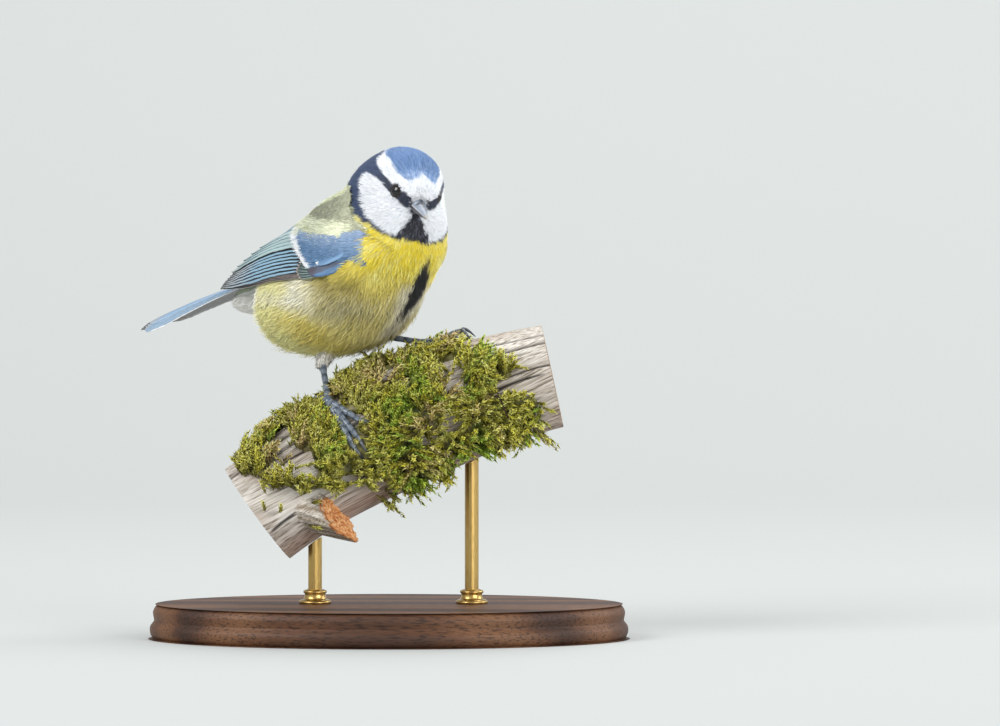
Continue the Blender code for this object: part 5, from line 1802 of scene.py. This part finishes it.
@dataclass
class Perch:
    """A short length of weathered branch with a torn stub, and the moss that grows on it."""

    branch: Branch
    moss_deep: float = 1.5 * MM
    moss_x: tuple[float, float, float] = (-18.0 * MM, 29.0 * MM, 42.0 * MM)
    moss_round: tuple[float, float] = (-60.0, 150.0)
    shoots: int = 3700

    def cracks(self, x: Array, angle: Array) -> Array:
        """Share of a crack at each place: thin lines along the wood's own fibres, that fade."""
        total = 0 * (x + angle)
        rng = np.random.default_rng(61)
        for _ in range(90):
            start, turn = rng.uniform(-30, 38), angle[0, rng.integers(angle.shape[1])]
            long, wide = rng.uniform(6, 40), rng.uniform(0.1, 0.26) * rng.choice((0.9, 1.0, 1.6))
            at = x / MM - start
            away = np.abs((angle - turn + math.pi) % TAU - math.pi) * 13
            inside = smooth(0, 2.5, at) * smooth(long, long - 4, at)
            total = np.maximum(total, np.exp(-((away / wide) ** 2)) * inside)
        return total

    def knot(self, x: Array, angle: Array) -> tuple[Array, Array]:
        """A knot on the near side: how near each place is, and the rings round it."""
        away = np.hypot((x / MM - 33.5) * 0.8, (np.asarray(angle) - 1.15) * 13)
        return np.exp(-((away / 3.2) ** 2)), np.sin(away * 4.2)

    def wood(self, material: Material) -> None:
        """The wood as a fine grid round and along, cracked and knotted, with rough ends."""
        rows, around = 170, 330
        x = np.linspace(*self.branch.ends, rows)[:, None]
        fibres = turns(around)[None, :]
        angle = fibres + 0.06 * np.sin(x / MM / 9.0) + 0.02 * np.sin(x / MM / 3.1 + 2 * fibres)
        crack = self.cracks(x, fibres)
        near, ring = self.knot(x, angle)
        flat = np.stack(np.broadcast_arrays(x * 0.04, np.sin(fibres) * 13 * MM, np.cos(fibres) * 13 * MM), -1)
        fibre = cloud(flat, 0.62 * MM) * 0.5 + cloud(flat, 1.9 * MM) * 0.5
        lift = (-0.8 * crack + 0.26 * fibre + 0.5 * near + 0.12 * ring * near) * MM
        rings = self.branch.point(x, angle, lift)
        broad = 0.5 + 0.5 * cloud(rings, (9 * MM, 5 * MM, 5 * MM))
        shade = blended("#dcdad6", "#bfb3a8", broad)
        under = smooth(-0.2, -0.9, np.cos(angle)) * (0.4 + 0.6 * broad)
        shade = blended(shade, "#b79a8c", 0.65 * under)
        shade = blended(shade, "#857a6e", np.clip(-1.4 * fibre - 0.1, 0, 1) * 0.8)
        # painted shade: the cracks are painted near black, as the shade in the slits
        shade = blended(shade, "#241d18", np.clip(crack * 1.3, 0, 1) * 0.92)
        shade = blended(shade, "#6e5f52", near * np.clip(0.45 + 0.45 * ring, 0, 1))
        parts = [(rings.reshape(-1, 3), [grid_faces(rows, around, wrap=True)[:, ::-1]])]
        tones = [shade.reshape(-1, 3)]
        for end in (0, -1):
            edge, centre = rings[end], rings[end].mean(0)
            share = np.linspace(0, 1, 12)[:, None, None]
            disc = centre + (edge - centre)[None] * share
            way = unit(rings[1 if end == 0 else -2].mean(0) - centre)
            rough = cloud(disc, 1.2 * MM) * 0.22 + 0.1 * np.sin(share[..., 0] * 60)
            rough = rough * smooth(1.0, 0.93, share[..., 0])
            disc = disc + way * (np.abs(rough) * MM)[..., None]
            faces = grid_faces(12, around, wrap=True)
            parts.append((disc.reshape(-1, 3), [faces if end == 0 else faces[:, ::-1]]))
            tone = blended("#b79f83", "#7d6650", 0.5 + 0.5 * np.sin(share[..., 0] * 60 + cloud(disc, 3 * MM)))
            tones.append(tone.reshape(-1, 3))
        piece = solid("branch", *merged(parts), np.concatenate(tones))
        dress(piece, "branch_wood", material, "perch_wood")

    def stub(self, bark: Material, torn: Material) -> None:
        """The broken side branch: its rings are raked by the break, which is splintered."""
        ends, rows, around = STUB_ENDS, 70, 120
        share = np.linspace(0, 1, rows)[:, None]
        angle = turns(around)[None, :]
        lobes = 1 + 0.06 * np.sin(3 * angle + 4 * share) + 0.05 * np.sin(5 * angle - 3 * share)
        lobes = lobes + 0.025 * np.sin(17 * angle + 6 * share) + 0.015 * np.sin(31 * angle)
        radius = (7.6 - 1.9 * share) * MM * lobes
        hollow = 0.75 * radius * np.maximum(np.sin(angle), 0)
        forward = share**3 * (-0.45 * radius * (0.6 + np.cos(angle)) - hollow)
        ring = np.stack((forward, -np.sin(angle) * radius, np.cos(angle) * radius), -1)
        rings = from_datum(ends[0] + (ends[1] - ends[0]) * share[..., None] + ring)
        tone = blended("#e2ddd5", "#a5998b", 0.5 + 0.5 * np.sin(17 * angle + 6 * share + 2))
        dress(solid("stub_bark", *capped_tube(rings), for_tube(tone)), "branch_wood", bark, "perch_wood")
        edge, centre = rings[-1], rings[-1].mean(0)
        depth = 40
        steps = np.linspace(0, 1, depth)[:, None]
        face = centre + (edge - centre)[None] * steps[..., None]
        fibre = cloud(face, (4 * MM, 0.8 * MM, 0.8 * MM)) * 0.5
        fibre = fibre + 0.5 * cloud(face, (3 * MM, 0.35 * MM, 0.35 * MM))
        out = (0.35 + 0.6 * fibre + 0.9 * smooth(0.75, 1.0, steps) * np.clip(fibre, 0, 1)) * MM
        face[..., 0] += out * smooth(1.02, 0.9, steps)
        tone = blended("#c88847", "#fbe0b4", np.clip(0.5 + 0.7 * fibre, 0, 1))
        tone = blended(tone, "#8a5a3f", smooth(0.85, 1.0, steps + 0 * angle) * 0.5)
        near = grid_faces(depth, around, wrap=True)
        edge = np.arange(around) + (depth - 1) * around
        onward = np.roll(edge, -1)
        back = depth * around
        wall = np.stack((edge, onward, onward + back, edge + back), -1)
        points = layered(face, face - np.array((0.4 * MM, 0, 0)))
        piece = solid("stub_face", points, [near, near[:, ::-1] + back, wall], layered(tone, tone))
        dress(piece, "branch_wood", torn, "perch_wood")

    @staticmethod
    def from_stub(points: Array) -> Array:
        """Millimetres from each point to the stub's torn face."""
        return np.linalg.norm(points - from_datum(STUB_ENDS[1] + (0, 0, 2 * MM)), axis=-1) / MM

    def moss_place(self, along_share: Array, round_share: Array) -> tuple[Array, Array]:
        """Station and angle of a place on the moss, which reaches further lower down."""
        angle = np.radians(self.moss_round[0] + (self.moss_round[1] - self.moss_round[0]) * round_share)
        down = np.clip((angle - math.radians(20)) / math.radians(80), 0, 1)
        end = self.moss_x[1] + (self.moss_x[2] - self.moss_x[1]) * down * down * (3 - 2 * down)
        end = end + 1.2 * MM * np.sin(7 * angle)
        start = self.moss_x[0] + 1.5 * MM * np.sin(6 * angle + 1)
        return start + (end - start) * along_share, angle

    def cover(self, points: Array) -> Array:
        """Where the moss is thick, and where bare wood shows between, as patches 6 mm across.

        Low on the near side, by the stub, the wood is bare.
        """
        x, _, z = ((points - from_datum(np.zeros(3)))[..., i] / MM for i in range(3))
        line = -45.3 - 0.42 * np.maximum(0, x + 7)
        bare = smooth(1.2, -1.2, z - line + 1.5 * cloud(points, 2.5 * MM)) * smooth(5, 2.5, x)
        return smooth(-0.42, -0.12, cloud(points, (5.5 * MM, 4.0 * MM, 4.0 * MM))) * (1 - bare)

    @staticmethod
    def greens(points: Array, tone: Array) -> Array:
        """Colour of moss: yellow-green, olive, bright green and dry tan, in drifts."""
        drift = 0.5 + 0.5 * cloud(points, 3.6 * MM)
        shade = blended("#c8c03a", "#fff98c", np.clip(tone, 0, 1) ** 1.5)
        shade = blended(shade, "#98c032", smooth(0.62, 0.9, drift + 0.3 * (tone - 0.5)) * 0.85)
        return blended(shade, "#e6c88c", smooth(0.38, 0.16, drift - 0.3 * (tone - 0.5)) * 0.85)

    def mat(self, material: Material) -> None:
        """The moss's felt on the wood: a closed sheet that sinks away at its bare patches, painted dark as
        the shade down among the shoots.
        """
        rows, columns = 120, 90
        share, turn = np.meshgrid(np.linspace(0, 1, rows), np.linspace(0, 1, columns), indexing="ij")
        x, angle = self.moss_place(share, turn)
        under = self.branch.point(x, angle, 0.05 * MM)
        lumps = 0.5 + 0.5 * np.sin(x / MM * 0.9 + 2 * angle) * np.sin(3 * angle - x / MM * 0.5)
        rim = smooth(0, 0.05, share) * smooth(1, 0.95, share) * smooth(0, 0.05, turn) * smooth(1, 0.95, turn)
        fine = 0.5 + 0.5 * cloud(under, 0.7 * MM)
        kept = smooth(0.55, 1.0, self.cover(under)) * smooth(7.5, 9.5, self.from_stub(under))
        sunk = (1.35 * smooth(0.5, 0.2, kept * rim) - 0.05) * MM
        deep = self.moss_deep * (0.3 + 0.3 * lumps + 0.4 * fine) * kept * rim
        under = self.branch.point(x, angle, -sunk)
        over = self.branch.point(x, angle, np.maximum(deep, 0.02 * MM) - sunk)
        # painted shade: the felt takes 0.1 to 0.32 of the moss's colour, as the shade down among the shoots
        shade = self.greens(over, fine) * (0.1 + 0.22 * fine)[..., None]
        piece = solid("moss_felt", layered(under, over), [sheet_faces(rows, columns)], layered(shade, shade))
        flat = np.stack((share, turn), -1)
        map_points(piece.data, "OFBake", layered(flat, flat))
        dress(piece, "moss", material, "perch_moss")

    def grow(self, material: Material) -> None:
        """Thousands of small curved shoots, each a stem with leaves set round it.

        A shoot's stem is a three-sided spike of four rings that starts along the wood's normal
        and leans more and more downhill or along the branch. Leaves are three-sided spikes at
        steps of 137.5 degrees round it, at 50 degrees to it.
        """
        rng = np.random.default_rng(62)
        share, turn = rng.random(self.shoots * 3), rng.random(self.shoots * 3)
        x, angle = self.moss_place(share, turn)
        roots = self.branch.point(x, angle, 0.2 * MM)
        likely = np.clip(self.cover(roots) * 1.1, 0.03, 1) * (0.6 + 0.4 * np.cos(angle / 2))
        kept = rng.random(len(roots)) < likely
        feet = []
        for leg in LEGS.values():
            feet.append(self.branch.point(leg.at[0] * MM, math.radians(leg.at[1]), 1.0 * MM)[None])
            feet += [Limbs().toe(self.branch, leg, toe)[0] for toe in leg.toes]
        from_toes = [np.linalg.norm(roots - spot, axis=-1) for spot in np.concatenate(feet)]
        near_foot = np.min(from_toes, axis=0) / MM
        kept &= (near_foot > 1.9) & (self.from_stub(roots) > 6.2)
        kept = np.flatnonzero(kept)[: self.shoots]
        share, turn, x, angle, roots = share[kept], turn[kept], x[kept], angle[kept], roots[kept]
        count = len(kept)
        out = unit(self.branch.point(x, angle, 1 * MM) - roots)
        uphill = unit(self.branch.point(x + 1 * MM, angle, 0.2 * MM) - roots)
        aside = np.cross(out, uphill)
        clump = cloud(roots, 3.2 * MM)
        swirl = 0.9 + 2.4 * clump + rng.normal(0, 0.55, count)
        lean = swung(swirl, uphill, aside)
        long = rng.uniform(2.2, 5.4, count) * MM * (1 + 0.25 * smooth(1.6, 2.4, angle))
        long = long * (0.4 + 0.6 * smooth(1.9, 5.0, near_foot[kept])) * (1.05 + 0.4 * cloud(roots, 2.4 * MM))
        t = np.linspace(0, 1, 5)
        drop = np.array((0.0, 0.0, -1.0)) * (0.25 + 0.5 * smooth(1.2, 2.2, angle))[:, None]
        way = out[:, None] * (1 - 0.75 * t)[None, :, None] + lean[:, None] * (0.35 + 0.75 * t)[None, :, None]
        way = unit(way + drop[:, None] * t[None, :, None])
        passed = np.cumsum(np.concatenate((0 * way[:, :1], way[:, :-1]), 1), 1)
        path = roots[:, None] + passed * (long / 4)[:, None, None]
        across = unit(np.cross(way, (0.3, 0.5, 0.81)))
        other = np.cross(way, across)
        ring = swung(turns(3), across[:, :, None], other[:, :, None])
        thin = np.array((0.13, 0.12, 0.1, 0.08)) * MM
        stem = path[:, :4, None] + ring[:, :4] * thin[None, :, None, None]
        points = [stem.reshape(count, 12, 3), path[:, 4:5]]
        faces = [(0, 2, 1)]
        for base in (0, 3, 6):
            for a, b in ((0, 1), (1, 2), (2, 0)):
                faces += [(base + a, base + b, base + 3 + b), (base + a, base + 3 + b, base + 3 + a)]
        faces += [(9, 10, 12), (10, 11, 12), (11, 9, 12)]
        leaves = 12
        first = 13
        for leaf in range(leaves):
            place = 0.18 + 0.8 * leaf / (leaves - 1)
            i = min(int(place * 4), 3)
            part = place * 4 - i
            spot = path[:, i] * (1 - part) + path[:, i + 1] * part
            azimuth = leaf * GOLDEN + swirl
            radial = swung(azimuth, across[:, i], other[:, i])
            side = np.cross(way[:, i], radial)
            size = (2.1 - 0.8 * place) * rng.uniform(0.8, 1.2, count) * MM
            tip = spot + (way[:, i] * 0.88 + radial * 0.46) * size[:, None]
            wide = 0.31 * MM
            base = (spot + side * wide, spot - side * wide, spot + way[:, i] * 0.12 * MM + radial * 0.05 * MM)
            points.append(np.stack((*base, tip), 1))
            faces += [(first, first + 1, first + 2), (first, first + 3, first + 1)]
            faces += [(first + 1, first + 3, first + 2), (first + 2, first + 3, first)]
            first += 4
        points = np.concatenate(points, 1)
        tone = rng.random(count)
        shade = self.greens(roots, tone)[:, None] * rng.normal(1, 0.16, (count, 1, 1))
        # painted shade and light: the shoots darker low down and lighter towards their tips, and each leaf
        # lighter at its point
        deep = 0.45 + 0.95 * np.linspace(0, 1, leaves)
        leaf_depth_shade = (np.array((0.75, 0.75, 0.65, 1.2)) * deep[:, None]).ravel()
        fade = np.concatenate((np.repeat((0.45, 0.6, 0.8, 0.95), 3), (1.1,), leaf_depth_shade))
        shade = shade * fade[None, :, None]
        spots = np.stack((share, turn), -1)[:, None] + rng.random((1, first, 2)) * PATCH
        for piece in swarm("moss_shoots", points, np.array(faces), shade, spots):
            dress(piece, "moss", material, "perch_moss")

    def rootlet(self, material: Material) -> None:
        """A dark dead rootlet that bows out of the moss and back into it."""
        knots = (
            (29.5, -15.0, -14.5), (31.0, -16.6, -17.0), (33.6, -18.2, -22.0),
            (35.6, -18.6, -26.5), (36.8, -17.6, -30.0), (37.0, -15.6, -31.5),
        )
        radii = np.array((0.24, 0.22, 0.2, 0.2, 0.16)) * MM
        path, radius = Limbs.smooth_line(from_datum(np.array(knots) * MM), radii, 40)
        points, faces = capped_tube(tube_grid(path, radius, 8))
        piece = solid("rootlet", points, faces, np.broadcast_to(srgb("#3a2a20"), points.shape))
        dress(piece, "branch_wood", material)

    def build(self, wood: Material, torn: Material, leaf: Material) -> None:
        """Builds wood, stub and moss."""
        self.wood(wood)
        self.stub(wood, torn)
        self.mat(leaf)
        self.grow(leaf)
        self.rootlet(wood)


@dataclass
class Stand:
    """An oval turned base and two brass rods, with a ferrule where each rod enters the base."""

    size: tuple[float, float, float] = (110.0 * MM, 68.0 * MM, 8.0 * MM)
    rods: tuple[float, float] = (-8.0 * MM, 28.0 * MM)

    def build(self, hardwood: Material, brass: Material) -> None:
        """Carries the edge's moulded profile round the oval, and turns each ferrule.

        The base's profile is given as an inset from the oval and a height.
        """
        profile = (
            (30, 0.0), (2.0, 0.0), (0.9, 0.15), (0.25, 0.9), (0, 2.0), (0.15, 3.0), (0.8, 3.9),
            (1.0, 4.3), (0.9, 4.9), (0.75, 6.2), (1.3, 7.4), (2.2, 7.9), (3.6, 8.0), (30, 8.0),
        )
        inset, high = along(np.arange(14), np.array(profile), np.linspace(0, 13, 79)).T
        turn = turns(120)
        circle = np.stack((np.cos(turn), np.sin(turn), 0 * turn), -1)
        half = np.array((*self.size[:2], 0)) / 2
        reach = np.maximum(half - inset[:, None] * MM, 0.5 * MM * (half > 0))
        rings = circle * reach[:, None] + high[:, None, None] * np.array((0, 0, MM))
        dress(solid("turned_base", *capped_tube(rings)), "plinth", hardwood, "stand_base")
        shape = (
            (0.0, 3.6), (0.5, 3.7), (0.9, 3.3), (1.2, 2.6), (2.2, 2.4), (2.6, 2.7), (3.0, 2.6), (3.3, 1.9),
        )
        high, wide = along(np.arange(8), np.array(shape), np.linspace(0, 7, 50)).T[..., None, None]
        for number, x in enumerate(self.rods, 1):
            foot = from_datum(np.array((x, -3.0 * MM, 0))) * (1, 1, 0) + (0, 0, self.size[2])
            rings = foot + (circle[::4] * wide + np.array((0, 0, 1)) * high) * MM
            dress(solid(f"ferrule_{number}", *capped_tube(rings)), "rod", brass)
            rod = bpy.data.objects[f"stand_rod_{number}"]
            rod.data.materials.clear()
            rod.data.materials.append(brass)


@dataclass
class Studio:
    """A pale paper sweep, soft lamps and the camera.

    A lamp is its name, its place, its size and its power. The camera looks from the front at a
    point beside the model, so that the bird stands where the photo has it.
    """

    lamps: tuple = (
        ("key", (-1.0, -0.8, 0.9), 0.75, 17.0),
        ("fill", (0.9, -1.1, 0.3), 0.9, 14.0),
        ("top", (0.1, 0.35, 1.1), 0.7, 9.0),
        ("rim", (1.1, 0.25, 0.5), 0.7, 6.0),
    )
    lit: tuple[float, float, float] = (0.01, 0.0, 0.07)
    sky: str = "#eef1f5"
    sky_strength: float = 0.62
    aim: tuple[float, float, float] = (0.0255, 0.004, 0.0632)
    distance: float = 3.0
    above_deg: float = 3.0
    sensor_mm: float = 36.0
    focal_mm: float = 469.8
    curve: tuple[float, float] = (0.4, 0.24)

    @staticmethod
    def stand(
        name: str, data: bpy.types.ID, spot: Vector, aim: tuple[float, float, float]
    ) -> bpy.types.Object:
        """Places a lamp or a camera and turns it to look at a point."""
        made = bpy.data.objects.new(name, data)
        made.location = spot
        made.rotation_euler = (Vector(aim) - made.location).to_track_quat("-Z", "Y").to_euler()
        bpy.context.scene.collection.objects.link(made)
        return made

    def build(self) -> None:
        """Sets the sweep, the soft lamps, a dim even sky and the camera."""
        scene, rise = bpy.context.scene, np.linspace(0, math.pi / 2, 16)[1:]
        y = np.concatenate((np.linspace(-1.6, 0.5, 12), 0.5 + self.curve[0] * np.sin(rise)))
        z = np.concatenate((np.zeros(12), self.curve[1] * (1 - np.cos(rise))))
        points = np.stack(np.broadcast_arrays(np.linspace(-2.0, 2.0, 9), y[:, None], z[:, None]), -1)
        sweep = solid("paper_sweep", points.reshape(-1, 3), [grid_faces(len(y), 9)[:, ::-1]])
        sweep.data.materials.append(PaperSweep().make())
        for name, spot, size, power in self.lamps:
            lamp = bpy.data.lights.new(name, "AREA")
            lamp.energy, lamp.size = power, size
            self.stand(name, lamp, Vector(spot), self.lit)
        scene.world = bpy.data.worlds.new("even_sky")
        scene.world.use_nodes = True
        sky = scene.world.node_tree.nodes["Background"].inputs
        sky[0].default_value, sky[1].default_value = rgba(self.sky), self.sky_strength
        scene.view_settings.view_transform = "Standard"
        lens = bpy.data.cameras.new("camera")
        lens.sensor_width, lens.lens = self.sensor_mm, self.focal_mm
        lens.clip_start, lens.clip_end = 0.1, 20.0
        above = math.radians(self.above_deg)
        spot = Vector(self.aim) + Vector((0, -math.cos(above), math.sin(above))) * self.distance
        scene.camera = self.stand("camera", lens, spot, self.aim)


def main() -> None:
    """Builds every piece over the solid frame and reports each."""
    logging.basicConfig(level=logging.INFO, format="%(message)s")
    down, vane = DownyBarbs().make(), VaneBarbs().make()
    surface = RingSurface(Flesh())
    wings = Wings()
    Studio().build()
    Skin().build(surface, Feathering(surface.flesh), Markings(), down)
    Coat().build(surface, wings, down)
    wings.build(vane, down)
    Tail().build(replace(VaneBarbs(), name="tail_barbs", edge_share=0.05, edge_soft=0.03).make())
    Eyes().build(EYE_CORNEA.make(), LID_SKIN.make())
    bill = Bill()
    bill.build(BILL_HORN.make())
    bill.bristles(surface.flesh, down)
    branch = Branch()
    Limbs().build(branch, SCUTE_HORN.make(), CLAW_HORN.make(), down)
    Perch(branch).build(GREY_WOOD.make(), TORN_WOOD.make(), MOSS_LEAF.make())
    Stand().build(TurnedHardwood().make(), BRASS.make())
    total = sum(len(p.vertices) - 2 for o in bpy.data.objects if o.type == "MESH" for p in o.data.polygons)
    LOG.info("triangles in all: %d", total)


if __name__ == "__main__":
    main()
